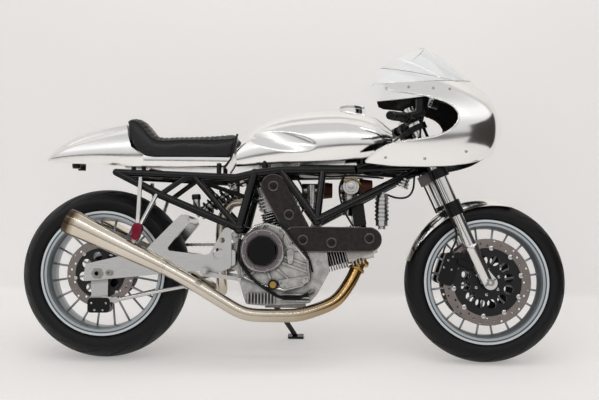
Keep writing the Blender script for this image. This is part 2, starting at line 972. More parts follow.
def soft_run(knots: Sequence[Point], count: int, soften: int) -> np.ndarray:
    """Open run through points: even steps along the straights, then neighbours averaged between fixed ends.

    Args:
        knots: Corners of the run.
        count: Points on the run.
        soften: How many times neighbours are averaged.

    Returns:
        Rows of three coordinates.
    """
    path = even_steps(np.asarray(knots, float), count)
    for _ in range(soften):
        path[1:-1] = (path[:-2] + 2.0 * path[1:-1] + path[2:]) / 4.0
    return path


def both_sides(mesh: MeshArrays) -> MeshArrays:
    """A right-hand mesh with its left-hand twin."""
    points, faces = mesh
    return merged([mesh, (points * np.array([1.0, -1.0, 1.0]), faces[:, ::-1])])


def turned(start: Any, way: Any, profile: Sequence[Flat], sides: int = 40) -> MeshArrays:
    """Turns a profile on a line.

    Args:
        start: Upright point where the profile's height is nought.
        way: Direction of its height.
        profile: Rows of radius and height.
        sides: Number of steps round.

    Returns:
        Vertices and quads in upright millimetres.
    """
    return copies(lathe(profile, sides), frames(np.array([start], float), np.array([way], float)))


class Skin:
    """The outside of a CAD node or piece, so that small pieces sit on what carries them."""

    def __init__(self, stance: Stance, piece: bpy.types.Object) -> None:
        """Keeps the stance and a search tree of the piece's faces."""
        self.stance = stance
        self.tree = BVHTree.FromObject(piece, bpy.context.evaluated_depsgraph_get())

    def beside(self, spots: Sequence[Flat], hand: float, away_mm: float = 420.0) -> Spots:
        """Finds side-view spots on the skin, seen from one side.

        Args:
            spots: Rows of upright x and z in millimetres.
            hand: RIGHT or LEFT of the machine.
            away_mm: How far out the search starts.

        Returns:
            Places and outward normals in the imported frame.
        """
        way = Vector(self.stance.turn([0.0, -hand, 0.0]))
        starts = [Vector(self.stance.place([x, hand * away_mm, z])) for x, z in spots]
        hits = [self.tree.ray_cast(start, way) for start in starts]
        found = [(hit[0], hit[1]) for hit in hits if hit[0] is not None]
        return np.array([f[0] for f in found]), np.array([f[1] for f in found])

    def nearest(self, points: np.ndarray) -> np.ndarray:
        """Moves packed points to the nearest place on the skin."""
        return np.array([self.tree.find_nearest(Vector(p))[0] for p in points.tolist()])


PLAIN_FINISHES: Dict[str, Any] = {
    # Hand-rolled aluminium sheet, buffed to a mirror: bright, with a slow ripple in the gloss
    "panel": MetalFinish("buffed_sheet_aluminium", "#efeeec", 0.15, cloud_mm=110.0, grain_mm=45.0,
                         grain=0.07, shade=0.03),
    # Polished fork tube: near chrome, with almost no grain
    "fork": MetalFinish("polished_fork_tube", "#d9d8d6", 0.12, cloud_mm=70.0, cloud=0.02, grain_mm=2.0,
                        grain=0.01, shade=0.02),
    # Die-cast engine alloy, bead blasted: grey and cloudy, with a cast grain and dirt in its corners
    "cast": MetalFinish("blasted_cast_alloy", "#c3c0bc", 0.22, cloud_mm=22.0, cloud=0.07, grain_mm=6.0,
                        grain=0.16, shade=0.34, grime=1.0),
    # Machined alloy plate: bright with a short satin grain
    "machined": MetalFinish("machined_alloy", "#cbcac8", 0.2, grain_mm=0.9, grain=0.05, shade=0.08,
                            grime=0.7),
    # Swingarm alloy brushed lengthways
    "brushed": BrushedFinish("brushed_arm_alloy", "#d0cfcd", 0.22),
    # Ground and plated steel
    "steel": MetalFinish("ground_steel", "#9f9c98", 0.28, cloud_mm=30.0, cloud=0.05, grain_mm=0.8,
                         grain=0.06),
    # Brake steel browned by heat
    "disc": MetalFinish("browned_brake_steel", "#8d8480", 0.28, cloud_mm=45.0, cloud=0.05, grain_mm=0.8,
                        grain=0.08, shade=0.15),
    # Gold anodising on caps and flanges
    "brass": MetalFinish("gold_anodised_alloy", "#b3924f", 0.28),
    # Powder-coated black tube, glossy
    "black": PaintFinish("black_powder_coat", "#060607", 0.1, peel=0.02, specular=0.3),
    # Hard black anodised fittings
    "anodised": PaintFinish("black_anodised_alloy", "#101011", 0.3, peel_mm=1.2, specular=0.22),
    # Tyre rubber, dusty on the flanks
    "rubber": PaintFinish("tyre_rubber", "#171718", 0.5, peel_mm=3.0, peel=0.10, mottle=0.25, specular=0.2),
    # Moulded grip and hose rubber
    "grip": PaintFinish("moulded_black_rubber", "#111112", 0.5, peel_mm=1.5, peel=0.10, mottle=0.2,
                        specular=0.22),
    # Resin belt covers: brown-black and cloudy
    "resin": PaintFinish("smoked_resin", "#2c2523", 0.34, peel_mm=5.0, peel=0.05, mottle=0.7, mottle_mm=14.0,
                         specular=0.25),
    # Dark burnished steel of the covers' edge beads and washers
    "bead": MetalFinish("burnished_dark_steel", "#5c5552", 0.22, cloud_mm=30.0, cloud=0.04, grain_mm=1.0,
                        grain=0.05),
    # Crimson anodised hanger clamps: a dark red metal
    "crimson": MetalFinish("crimson_anodised_alloy", "#8a2a3c", 0.24, cloud_mm=30.0, cloud=0.04,
                           grain_mm=1.0, grain=0.05, shade=0.3),
    # Seat hide
    "leather": LeatherFinish(),
    # Cast acrylic, clear enough that only its gloss shows
    "screen": ClearFinish("clear_acrylic_screen", "#fbfdfe", 1.45),
    # Pressed lamp glass
    "lens": ClearFinish("lamp_glass", "#ffffff", 1.5),
    # Red-brown wire gauze over the intake bells
    "gauze": GauzeFinish("wire_gauze", "#2a1510", "#7a4430"),
    # Oiled red filter cloth
    "red": PaintFinish("dark_red_cloth", "#6a1820", 0.4, peel_mm=3.0, peel=0.08, coat=0.2),
    # Glossy red plastic of the tail lenses
    "tail_red": PaintFinish("red_lamp_plastic", "#8a0f1c", 0.15, peel_mm=3.0, peel=0.02, coat=0.8),
    # Satin black enamel of the dial's face
    "dial": PaintFinish("dial_enamel", "#0c0c0d", 0.4, peel_mm=3.0, peel=0.02),
    # Off-white print of the dial's marks, and the bulb
    "white": PaintFinish("dial_marks", "#e8e6df", 0.5, peel_mm=3.0, peel=0.02, mottle=0.03),
}

# Wheel: black hub, grey spokes, darker barrel and a bright lip split by a dark line
WHEEL_STOPS: Stops = (
    (0.0, "#141416"), (0.27, "#141416"), (0.28, "#a9aeb2"), (0.74, "#a4a9ad"), (0.76, "#8b9297"),
    (0.815, "#8b9297"), (0.825, "#b4bbc0"), (0.868, "#b4bbc0"), (0.872, "#45494c"), (0.888, "#45494c"),
    (0.892, "#d8dee1"),
)
WHEEL_REACH = 0.25
# Clutch cover: black dome, bronze-grey ring and a bright flange
CLUTCH_STOPS: Stops = (
    (0.0, "#121214"), (0.52, "#141416"), (0.54, "#6b6266"), (0.72, "#756c70"), (0.745, "#c4c2bf"),
)
CLUTCH_MIDDLE: Point = (598.0, -160.0, 404.0)
CLUTCH_REACH = 0.1
# Stainless headers: straw and brown by the ports, paler towards the back
PIPE_STOPS: Stops = (
    (0.0, "#7a5c38"), (0.10, "#b08d58"), (0.28, "#a3937c"), (0.55, "#bdb3a4"), (1.0, "#d3cbbe"),
)
# Megaphones: satin steel, browned and then sooty at the outlet
MEGAPHONE_STOPS: Stops = (
    (0.0, "#cbc2b4"), (0.45, "#d8cfc2"), (0.9, "#d2c8b8"), (0.94, "#9a8a72"), (0.965, "#4b4034"),
)
# Cylinders: bare foot, black fins and a bare head
BARREL_STOPS: Stops = (
    (0.0, "#b4b1ac"), (0.09, "#b4b1ac"), (0.10, "#141415"), (0.445, "#141415"), (0.46, "#b9b6b1"),
)
BARREL_FOOT, BARREL_LENGTH = 98.0, 220.0


def along_line(stance: Stance, name: str, start: Any, end: Any, stops: Stops, roughness: float,
               drift: float = 0.0) -> bpy.types.Material:
    """Metal coloured along a line between two upright points.

    Args:
        stance: Where the machine stands.
        name: Name of the material.
        start: Where the first colour stands.
        end: Where the last colour stands.
        stops: Shares of the line and colours.
        roughness: Middle roughness.
        drift: How far a noise shifts the colours.

    Returns:
        The material.
    """
    first, last = stance.place(start), stance.place(end)
    length = float(np.linalg.norm(last - first))
    way = tuple(((last - first) / length).tolist())
    return AlongFinish(name, tuple(first.tolist()), way, length, stops, roughness, drift).build()


def make_finishes(stance: Stance, front_axle: Point, rear_axle: Point) -> Dict[str, bpy.types.Material]:
    """Makes every finish once.

    Args:
        stance: Where the machine stands.
        front_axle: Packed place of the front axle.
        rear_axle: Packed place of the rear axle.

    Returns:
        Key of the finish to material.
    """
    made = {key: finish.build() for key, finish in PLAIN_FINISHES.items()}
    axis = tuple(stance.left.tolist())
    for key, axle, side in (("front_wheel", front_axle, 0.0545), ("rear_wheel", rear_axle, 0.085)):
        made[key] = RadialFinish(f"{key}_paint", axle, axis, WHEEL_REACH, WHEEL_STOPS, side=side).build()
    clutch = tuple(stance.place(CLUTCH_MIDDLE).tolist())
    made["clutch"] = RadialFinish("clutch_cover_coats", clutch, axis, CLUTCH_REACH, CLUTCH_STOPS,
                                  metallic=0.9, roughness=0.3).build()
    made["pipe"] = along_line(stance, "heat_tinted_stainless", (960.0, 0.0, 300.0), (240.0, 0.0, 300.0),
                              PIPE_STOPS, 0.16, 0.10)
    made["megaphone"] = along_line(stance, "satin_megaphone", (250.0, -190.0, 339.0), (-99.0, -215.0, 506.0),
                                   MEGAPHONE_STOPS, 0.15, 0.02)
    for end in CYLINDER_DEG:
        way = cylinder_way(end)
        base = np.array(CRANK) + way * BARREL_FOOT
        made[f"{end}_barrel"] = along_line(stance, f"{end}_barrel_coats", base, base + way * BARREL_LENGTH,
                                           BARREL_STOPS, 0.34)
    return made


FINISH_NODES: Dict[str, Tuple[str, ...]] = {
    "panel": ("front_fender", "fuel_tank", "tail_cowl", "fairing"),
    "fork": ("fork_lowers", "fork_outer_tubes"),
    "cast": ("crankcase", "carburettors"),
    "machined": ("breather_can", "caliper_bracket", "rearsets", "megaphone_hangers", "fuel_cap", "horn"),
    "brushed": ("swingarm", "dropouts"),
    "steel": ("rear_sprocket", "rear_axle", "front_axle", "drive_chain", "rear_shock", "stand_bosses"),
    "disc": ("front_discs", "rear_disc"),
    "brass": ("oil_filler",),
    "black": ("frame", "subframe", "fairing_stay", "side_stand"),
    "anodised": ("fork_collars", "lower_yoke", "upper_yoke", "clip_on_bars", "hand_controls",
                 "front_calipers", "oil_cooler", "rear_caliper", "tail_lamp", "instruments"),
    "rubber": ("rear_tyre", "front_tyre"),
    "grip": ("grips", "breather_hose"),
    "resin": ("belt_covers",),
    "leather": ("seat_pad",),
    "screen": ("windscreen",),
    "lens": ("headlamp",),
    "gauze": ("mesh_filters",),
    "red": ("breather_filter",),
    "front_wheel": ("front_wheel",),
    "rear_wheel": ("rear_wheel",),
    "clutch": ("clutch_cover",),
    "pipe": ("exhaust_right", "exhaust_left"),
    "megaphone": ("megaphones",),
    "front_barrel": ("cylinder_front",),
    "rear_barrel": ("cylinder_rear",),
}


def paint_nodes(nodes: Dict[str, bpy.types.Object], finishes: Dict[str, bpy.types.Material]) -> None:
    """Gives every CAD node its finish.

    Args:
        nodes: The CAD nodes by name.
        finishes: Key of the finish to material.
    """
    finish_of = {node: finish for finish, names in FINISH_NODES.items() for node in names}
    for name, node in nodes.items():
        node.data.materials.clear()
        node.data.materials.append(finishes[finish_of.get(name, "anodised")])
        LOG.info("finish of %s: %s", name, node.data.materials[0].name)


@dataclass
class Assembly:
    """A sub-assembly: where the machine stands, its finishes, and how pieces are made and dressed."""

    stance: Stance
    finishes: Dict[str, bpy.types.Material]

    def dress(self, piece: bpy.types.Object, finish: str, slot: str, body: Body = Body.CHASSIS,
              stands_for: Sequence[str] = ()) -> None:
        """Gives a new piece its finish, body, slot and the CAD nodes that it stands for.

        Args:
            piece: The new object.
            finish: Key of its finish.
            slot: The record's material slot.
            body: The body it moves with.
            stands_for: CAD nodes that it replaces.
        """
        piece.data.materials.clear()
        piece.data.materials.append(self.finishes[finish])
        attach(piece, body.value)
        if stands_for:
            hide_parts(*stands_for)
        LOG.info("piece %s on %s", piece.name, body.value)

    def lay(self, name: str, mesh: MeshArrays, finish: str, slot: str, body: Body = Body.CHASSIS,
            stands_for: Sequence[str] = (), smooth: bool = True) -> None:
        """Makes a piece from a mesh in upright millimetres and dresses it.

        Args:
            name: Name of the piece.
            mesh: Vertices and quads.
            finish: Key of its finish.
            slot: The record's material slot.
            body: The body it moves with.
            stands_for: CAD nodes that it replaces.
            smooth: Whether its faces shade smoothly.
        """
        points, faces = mesh
        self.dress(to_object(name, self.stance.place(points), faces, smooth), finish, slot, body, stands_for)


@dataclass
class Tyre(Assembly):
    """One tyre, drawn again with its tread grooves.

    Each row of grooves has the shares of the half width where it starts and ends, and its lead in pitches.
    """

    name: str
    node: str
    body: Body
    axle: Point
    outer_r: float
    half: float
    widest_r: float
    rim_half: float
    repeats: int
    bead_r: float = 218.8
    heel_r: float = 232.5
    rim_gap: float = 0.3
    flank_bend: float = 2.2
    steps: int = 640
    tread_points: int = 61
    off_tread: float = 9.0
    groove: float = 4.0
    groove_half: float = 3.0
    groove_edge: float = 2.2
    slant: float = 0.8
    groove_rows: Points = ((0.10, 0.62, 0.0), (0.48, 0.90, 0.5))

    def section(self) -> np.ndarray:
        """Cross-section as an arc over the tread and a curved flank to each bead.

        Returns:
            Rows of radius, lateral place and tread share, which is -1 to 1 over the tread.
        """
        rise = self.outer_r - self.widest_r
        crown = (self.half ** 2 + rise ** 2) / (2.0 * rise)
        reach = math.asin(min(self.half / crown, 1.0))
        turn = np.linspace(-reach, reach, self.tread_points)
        tread_r = self.outer_r - crown * (1 - np.cos(turn))
        tread = np.stack([tread_r, crown * np.sin(turn), turn / reach], axis=-1)
        bead = self.rim_half - self.rim_gap
        share = np.linspace(0.0, 1.0, 9)[1:]
        flank_r = self.widest_r + (self.heel_r - self.widest_r) * share
        flank_y = bead + (self.half - bead) * np.sqrt(np.clip(1.0 - share ** self.flank_bend, 0.0, 1.0))
        off = np.full_like(share, self.off_tread)
        right = np.stack([flank_r, flank_y, off], axis=-1)
        left = np.stack([flank_r[::-1], -flank_y[::-1], off], axis=-1)
        feet = np.array([[self.bead_r, hand * bead, self.off_tread] for _, hand in HANDS])
        return np.vstack([feet[:1], left, tread, right, feet[1:]])

    def build(self) -> None:
        """Turns the section about the axle and sinks slanted grooves into the tread."""
        profile = self.section()
        angle = np.linspace(0.0, TAU, self.steps, endpoint=False)[:, None]
        radius, lateral, share = profile[None, :, 0], profile[None, :, 1], profile[None, :, 2]
        pitch = TAU * self.outer_r / self.repeats
        depth = np.zeros((self.steps, len(profile)))
        for hand, shift in ((LEFT, 0.0), (RIGHT, 0.5)):
            for near, far, lead in self.groove_rows:
                across = (share * hand - near) / (far - near)
                phase = (angle * self.repeats / TAU + shift + lead - self.slant * across) % 1.0
                gap = np.abs(phase - 0.5) * pitch
                inside = (across > 0.0) & (across < 1.0)
                cut = np.clip((self.groove_half + self.groove_edge - gap) / self.groove_edge, 0.0, 1.0)
                depth = np.maximum(depth, np.where(inside, cut * self.groove, 0.0))
        r = radius - depth
        x = self.axle[0] + r * np.cos(angle)
        z = self.axle[2] + r * np.sin(angle)
        points = np.stack([x, np.broadcast_to(lateral, x.shape), z], axis=-1)
        mesh = points, grid_faces(self.steps, len(profile), True, True)
        self.lay(self.name, mesh, "rubber", "rubber_tyre", self.body, (self.node,))


@dataclass
class Chain(Assembly):
    """Drive chain of alternating plates and rollers round both sprockets, each given as x, z and radius."""

    pitch: float = 15.875
    lateral: float = 110.0
    rear: Point = (0.0, 315.0, 107.0)
    front: Point = (546.0, 392.0, 39.0)
    plate_r: float = 6.6
    plate_wall: float = 1.9
    inner_reach: float = 4.6
    outer_reach: float = 6.6
    roller_r: float = 5.0

    def loop(self) -> Tuple[np.ndarray, np.ndarray]:
        """Places links evenly along two arcs and two straight runs.

        Returns:
            Link middles in side view and their directions.
        """
        (x0, z0, r0), (x1, z1, r1) = self.rear, self.front
        span = math.hypot(x1 - x0, z1 - z0)
        tilt = math.atan2(z1 - z0, x1 - x0)
        lean = math.acos((r0 - r1) / span)
        up, down = tilt + lean, tilt - lean
        arc0 = np.linspace(up, down + TAU, 400)
        arc1 = np.linspace(down, up, 200)
        rear = np.stack([x0 + r0 * np.cos(arc0), z0 + r0 * np.sin(arc0)], axis=-1)
        front = np.stack([x1 + r1 * np.cos(arc1), z1 + r1 * np.sin(arc1)], axis=-1)
        path = np.vstack([rear, front, rear[:1]])
        count = int(run_length(path)[-1] / self.pitch) // 2 * 2
        joints = even_steps(path, count + 1)
        return (joints[:-1] + joints[1:]) / 2.0, joints[1:] - joints[:-1]

    def plate(self, low: float, high: float) -> MeshArrays:
        """Waisted side plate: a long outline with a pinched middle.

        Args:
            low: First lateral place.
            high: Last lateral place.

        Returns:
            Vertices and quads about the link's middle.
        """
        angle = np.linspace(0.0, TAU, 16, endpoint=False)
        wide = np.abs(np.cos(angle)) > 0.2
        along = self.pitch * 0.5 * np.sign(np.cos(angle)) * wide + self.plate_r * np.cos(angle)
        height = self.plate_r * np.sin(angle) * np.where(wide, 1.0, 0.75)
        return bar_of(np.stack([along, height], axis=-1), low, high)

    def build(self) -> None:
        """Makes the links."""
        middle, way = self.loop()
        fore = unit(way)
        parts = []
        for start, reach in enumerate((self.inner_reach, self.outer_reach)):
            spots, ahead = middle[start::2], fore[start::2]
            x = np.insert(ahead, 1, 0.0, axis=1)
            y = np.tile([0.0, 1.0, 0.0], (len(ahead), 1))
            mats = np.stack([x, y, np.cross(x, y), np.insert(spots, 1, self.lateral, axis=1)], axis=-1)
            for _, hand in HANDS:
                parts.append(copies(self.plate(hand * reach, hand * (reach + self.plate_wall)), mats))
            if reach == self.inner_reach:
                r, half = self.roller_r, self.inner_reach
                points, faces = lathe(((0.0, -half), (r, -half), (r, half), (0.0, half)), 10)
                for end in (-0.5, 0.5):
                    roller = np.stack([points[:, 0] + end * self.pitch, points[:, 2], points[:, 1]], axis=-1)
                    parts.append(copies((roller, faces), mats))
        self.lay("chain_links", merged(parts), "steel", "chain_steel", stands_for=("drive_chain",),
                 smooth=False)


def bake(piece: bpy.types.Object) -> None:
    """Makes the modified mesh the piece's own and drops the modifiers.

    Args:
        piece: An object with modifiers.
    """
    shape = piece.evaluated_get(bpy.context.evaluated_depsgraph_get())
    mesh = bpy.data.meshes.new_from_object(shape)
    piece.modifiers.clear()
    piece.data = mesh


@dataclass
class Seat(Assembly):
    """Upholstered seat: a crowned pad swelled as cloth, then sewn into cross ribs and piped."""

    top: Flats = (
        (77, 894), (94, 902), (116, 901), (138, 887), (160, 860), (184, 834), (212, 826), (270, 828),
        (340, 830), (410, 834), (462, 839), (488, 843),
    )
    low: Flats = (
        (82, 868), (88, 838), (98, 806), (116, 779), (140, 761), (172, 753), (212, 751), (270, 751),
        (340, 751.5), (410, 752), (450, 753), (474, 757),
    )
    half: Tuple[float, ...] = (72, 80, 88, 94, 97, 99, 100, 100, 100, 98, 95, 91)
    strip: Points = (
        (494, -88, 838), (484, -96, 795), (473, -100, 749), (462, -103, 728), (450, -104, 710),
    )
    strip_r: float = 4.0
    piping_r: float = 2.2
    around: int = 61
    squareness: float = 0.42
    crown_fall: float = 0.06
    voxel_mm: float = 5.0
    pressure: float = 4.0
    swell_frames: int = 20
    swell_cap_mm: float = 4.0
    rib_mm: float = 19.0
    rib_depth: float = 3.4
    rib_roundness: float = 0.55

    def stations(self, count: int) -> Tuple[np.ndarray, np.ndarray, np.ndarray]:
        """Smooths the top line, the resting line and the half width over even stations.

        Args:
            count: Number of stations from the roll at the rear to the nose.

        Returns:
            Top line, resting line and half width.
        """
        top, low = (smooth_path([(x, 0.0, z) for x, z in line], count) for line in (self.top, self.low))
        knots = np.linspace(0.0, 1.0, len(self.half))
        return top, low, np.interp(np.linspace(0.0, 1.0, count), knots, self.half)

    def form(self) -> bpy.types.Object:
        """Lofts the pad: each station carries a rounded box from the resting line to the top line.

        Returns:
            The plain pad, a little smaller than the finished one.
        """
        top, low, half = self.stations(120)
        angle = np.linspace(0.0, math.pi, self.around)
        across = np.sign(np.cos(angle)) * np.abs(np.cos(angle)) ** self.squareness
        height = np.abs(np.sin(angle)) ** self.squareness * (1.0 - self.crown_fall * across ** 2)
        rings = low[:, None] + (top - low)[:, None] * height[None, :, None]
        rings[..., 1] = half[:, None] * across[None]
        closed = capped(rings)
        faces = grid_faces(len(closed), self.around, False, True)
        return to_object("seat_upholstery", self.stance.place(closed), faces)

    def swell(self, piece: bpy.types.Object) -> None:
        """Blows the pad up as cloth; points that rest on the tail stay where they are.

        Args:
            piece: The plain pad.
        """
        scene = bpy.context.scene
        even = piece.modifiers.new("even_mesh", "REMESH")
        even.mode = "VOXEL"
        even.voxel_size = self.voxel_mm * MM
        bake(piece)
        before, normals = vertices(piece.data), vertices(piece.data, "normal")
        cloth = piece.modifiers.new("swelling", "CLOTH")
        cloth.settings.use_pressure = True
        cloth.settings.uniform_pressure_force = self.pressure
        cloth.settings.effector_weights.gravity = 0.0
        for number in range(1, self.swell_frames + 1):
            scene.frame_set(number)
        after = vertices(piece.evaluated_get(bpy.context.evaluated_depsgraph_get()).data)
        piece.modifiers.clear()
        scene.frame_set(1)
        move = after - before
        length = np.linalg.norm(move, axis=1, keepdims=True)
        rise = normals @ self.stance.turn([0.25, 0.0, 0.97])
        free = np.clip(rise + 0.35, 0.0, 1.0)[:, None]
        held = before + move * free * np.minimum(1.0, self.swell_cap_mm * MM / np.maximum(length, 1e-9))
        piece.data.vertices.foreach_set("co", held.ravel())
        piece.data.update()

    def sew(self, piece: bpy.types.Object) -> None:
        """Sinks the ribs: depth follows the sine of the run along the top line, fading to the edges.

        Args:
            piece: The swelled pad.
        """
        finer = piece.modifiers.new("finer", "SUBSURF")
        finer.levels = finer.render_levels = 1
        bake(piece)
        spots, normals = vertices(piece.data), vertices(piece.data, "normal")
        local = self.stance.upright(spots)
        top, low, half = self.stations(160)
        run = run_length(top)
        apart = np.linalg.norm(local[:, None, [0, 2]] - top[None][..., [0, 2]], axis=2)
        near = np.argmin(apart, axis=1)
        facing = np.einsum("ij,ij->i", normals, self.stance.turn(unit(top - low)[near]))
        wave = np.abs(np.sin(math.pi * run[near] / self.rib_mm)) ** self.rib_roundness
        edge = np.clip((0.84 * half[near] - np.abs(local[:, 1])) / 6.0, 0.0, 1.0)
        rear_end = np.clip((run[near] - 16.0) / 10.0, 0.0, 1.0)
        nose_end = np.clip((run[-1] - 24.0 - run[near]) / 8.0, 0.0, 1.0)
        upper = np.clip((facing - 0.3) * 4.0, 0.0, 1.0)
        depth = self.rib_depth * (1.0 - wave) * edge * (rear_end * nose_end) * upper
        piece.data.vertices.foreach_set("co", (spots - normals * depth[:, None] * MM).ravel())
        piece.data.polygons.foreach_set("use_smooth", np.ones(len(piece.data.polygons), bool))
        piece.data.update()

    def piping(self, skin: Skin) -> MeshArrays:
        """Lays a cord of piping along both upper edges of the pad.

        Args:
            skin: The finished pad's outside.

        Returns:
            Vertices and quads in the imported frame.
        """
        top, low, half = self.stations(120)
        line = low + (top - low) * 0.86
        parts = []
        for _, hand in HANDS:
            line[:, 1] = hand * half * 0.97
            parts.append(tube(skin.nearest(self.stance.place(line[3:-3])), self.piping_r * MM, 10))
        return merged(parts)

    def build(self) -> None:
        """Makes the pad, its piping and the edge strips down the slanted front of the tail."""
        piece = self.form()
        self.swell(piece)
        self.sew(piece)
        self.dress(piece, "leather", "leather", stands_for=("seat_pad",))
        self.dress(to_object("seat_piping", *self.piping(Skin(self.stance, piece))), "grip", "leather")
        strips = both_sides(tube(smooth_path(self.strip, 40), self.strip_r, 12))
        self.lay("tail_edge_strip", strips, "grip", "rubber")


@dataclass
class Tank(Assembly):
    """Fuel tank drawn again as one skin, with a knee hollow pressed into each flank."""

    rows: Tuple[Tuple[float, ...], ...] = (
        (492, 716, 84, 760, 94, 800, 70, 822), (572, 720, 104, 785, 118, 850, 78, 887),
        (686, 728, 118, 800, 136, 880, 92, 927), (839, 736, 122, 820, 150, 895, 100, 944),
        (930, 742, 115, 820, 148, 890, 98, 938), (1010, 754, 98, 815, 130, 872, 84, 916),
        (1072, 776, 66, 815, 90, 846, 58, 872),
    )
    hollow: Flat = (664.0, 807.0)
    reach: Flat = (128.0, 37.0)
    slope: float = -0.139
    depth: float = 13.0
    well_r: float = 35.0
    well_low: float = 880.0
    ring: Flats = (
        (46.0, 922.0), (46.0, 946.5), (44.5, 948.0), (30.0, 948.0), (28.5, 946.5), (28.5, 880.0),
        (0.0, 880.0),
    )
    ear: Flats = ((960, 922), (976, 922), (976, 948), (973, 951), (963, 951), (960, 948))

    def skin(self) -> MeshArrays:
        """Lofts the sections; the knee hollow is a lens, creased along its top and fading out below.

        Returns:
            Vertices and quads, with a hole left under the filler ring.
        """
        rings = section_rings(smooth_path(self.rows, 170), 48, 64)
        ahead = rings[..., 0] - self.hollow[0]
        rise = (rings[..., 2] - self.hollow[1] - self.slope * ahead) / self.reach[1]
        fade = np.where(rise > 0.0, 0.8, 1.3)
        lens = np.clip(1.0 - (ahead / self.reach[0]) ** 2 - rise ** 2, 0.0, 1.0) ** fade
        flank = np.clip((np.abs(rings[..., 1]) - 60.0) / 20.0, 0.0, 1.0)
        rings[..., 1] -= np.sign(rings[..., 1]) * self.depth * lens * flank
        closed = capped(rings)
        points = closed.reshape(-1, 3)
        faces = grid_faces(len(closed), rings.shape[1], False, True)
        x, y, z = points[faces].mean(axis=1).T
        well = (np.hypot(x - FILLER_X, y) < self.well_r) & (z > self.well_low)
        return points, faces[~well]

    def build(self) -> None:
        """Makes the skin with its filler ring, filler well and hinge ears."""
        ring = turned((FILLER_X, 0.0, 0.0), (0.0, 0.0, 1.0), self.ring, 72)
        ears = both_sides(bar_of(np.array(self.ear, float), 5.5, 10.0))
        mesh = merged([self.skin(), ring, ears])
        self.lay("tank_skin", mesh, "panel", "polished", stands_for=("fuel_tank",))


@dataclass
class Fairing(Assembly):
    """Half fairing drawn again as one thin sheet with a rolled edge round the rider's opening."""

    rows: Tuple[Tuple[float, ...], ...] = (
        (940, 728, 160, 875, 202, 1085, 128, 1270), (1060, 716, 164, 875, 206, 1080, 128, 1240),
        (1198, 714, 160, 875, 206, 1060, 124, 1183), (1297, 722, 146, 875, 198, 1040, 112, 1118),
        (1385, 742, 118, 875, 176, 1010, 90, 1048), (1440, 772, 84, 875, 142, 975, 72, 1005),
        (1474, 806, 34, 872, 80, 935, 36, 950),
    )
    opening: Flats = (
        (1030, 1015), (1036, 1000), (1052, 988), (1088, 983), (1144, 975), (1208, 962), (1262, 942),
        (1290, 918), (1298, 893), (1287, 866), (1258, 841), (1221, 824), (1178, 815), (1128, 808),
        (1085, 801), (1050, 791), (1015, 774), (986, 753), (966, 732),
    )
    rest: Flats = ((972, 700), (1500, 700), (1500, 1059.5))
    sheet: float = 3.0
    bead_r: float = 2.5
    bead_inset: float = 2.6

    def skin(self) -> MeshArrays:
        """Lofts the sections and keeps what lies inside the side-view outline, its edge drawn to that line.

        Returns:
            Vertices and quads of one sheet.
        """
        outline = np.vstack([smooth_path(self.opening, 260), np.array(self.rest)])
        rings = section_rings(smooth_path(self.rows, 200), 90, 40)
        points = rings.reshape(-1, 3)
        faces = grid_faces(len(rings), rings.shape[1], False, False)
        flat = points[:, [0, 2]]
        inside = within(flat, outline)
        kept = faces[inside[faces].any(axis=1)]
        used, index = np.unique(kept, return_inverse=True)
        outer = used[~inside[used]]
        points[outer[:, None], [0, 2]] = drawn_to(flat[outer], outline)
        return points[used], index.reshape(-1, 4)

    def beads(self, skin: Skin) -> MeshArrays:
        """Runs a round bead along the opening on both sides, a little inside its line.

        Args:
            skin: The sheet's outside.

        Returns:
            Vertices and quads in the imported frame.
        """
        line = smooth_path(self.opening, 160)
        way = unit(np.gradient(line, axis=0))
        spots = line + self.bead_inset * np.stack([-way[:, 1], way[:, 0]], axis=-1)
        lines = [skin.beside(spots.tolist(), hand)[0] for _, hand in HANDS]
        return merged([tube(line, self.bead_r * MM, 10) for line in lines])

    def build(self) -> None:
        """Makes the sheet, thickened to its inside, and lays the rolled edge on it."""
        stance = self.stance
        points, faces = self.skin()
        piece = to_object("fairing_sheet", stance.place(points), faces)
        beads = self.beads(Skin(stance, piece))
        places = vertices(piece.data)
        local = stance.upright(places)
        facing = stance.upright(places + MM * vertices(piece.data, "normal")) - local
        outward = float(np.sum(facing[:, 1] * local[:, 1]))
        wall = piece.modifiers.new("sheet_wall", "SOLIDIFY")
        wall.thickness = self.sheet * MM
        wall.offset = -1.0 if outward > 0.0 else 1.0
        wall.material_offset = 1
        self.dress(piece, "panel", "polished", stands_for=("fairing",))
        piece.data.materials.append(self.finishes["anodised"])
        self.dress(to_object("fairing_rolled_edge", *beads), "panel", "polished")


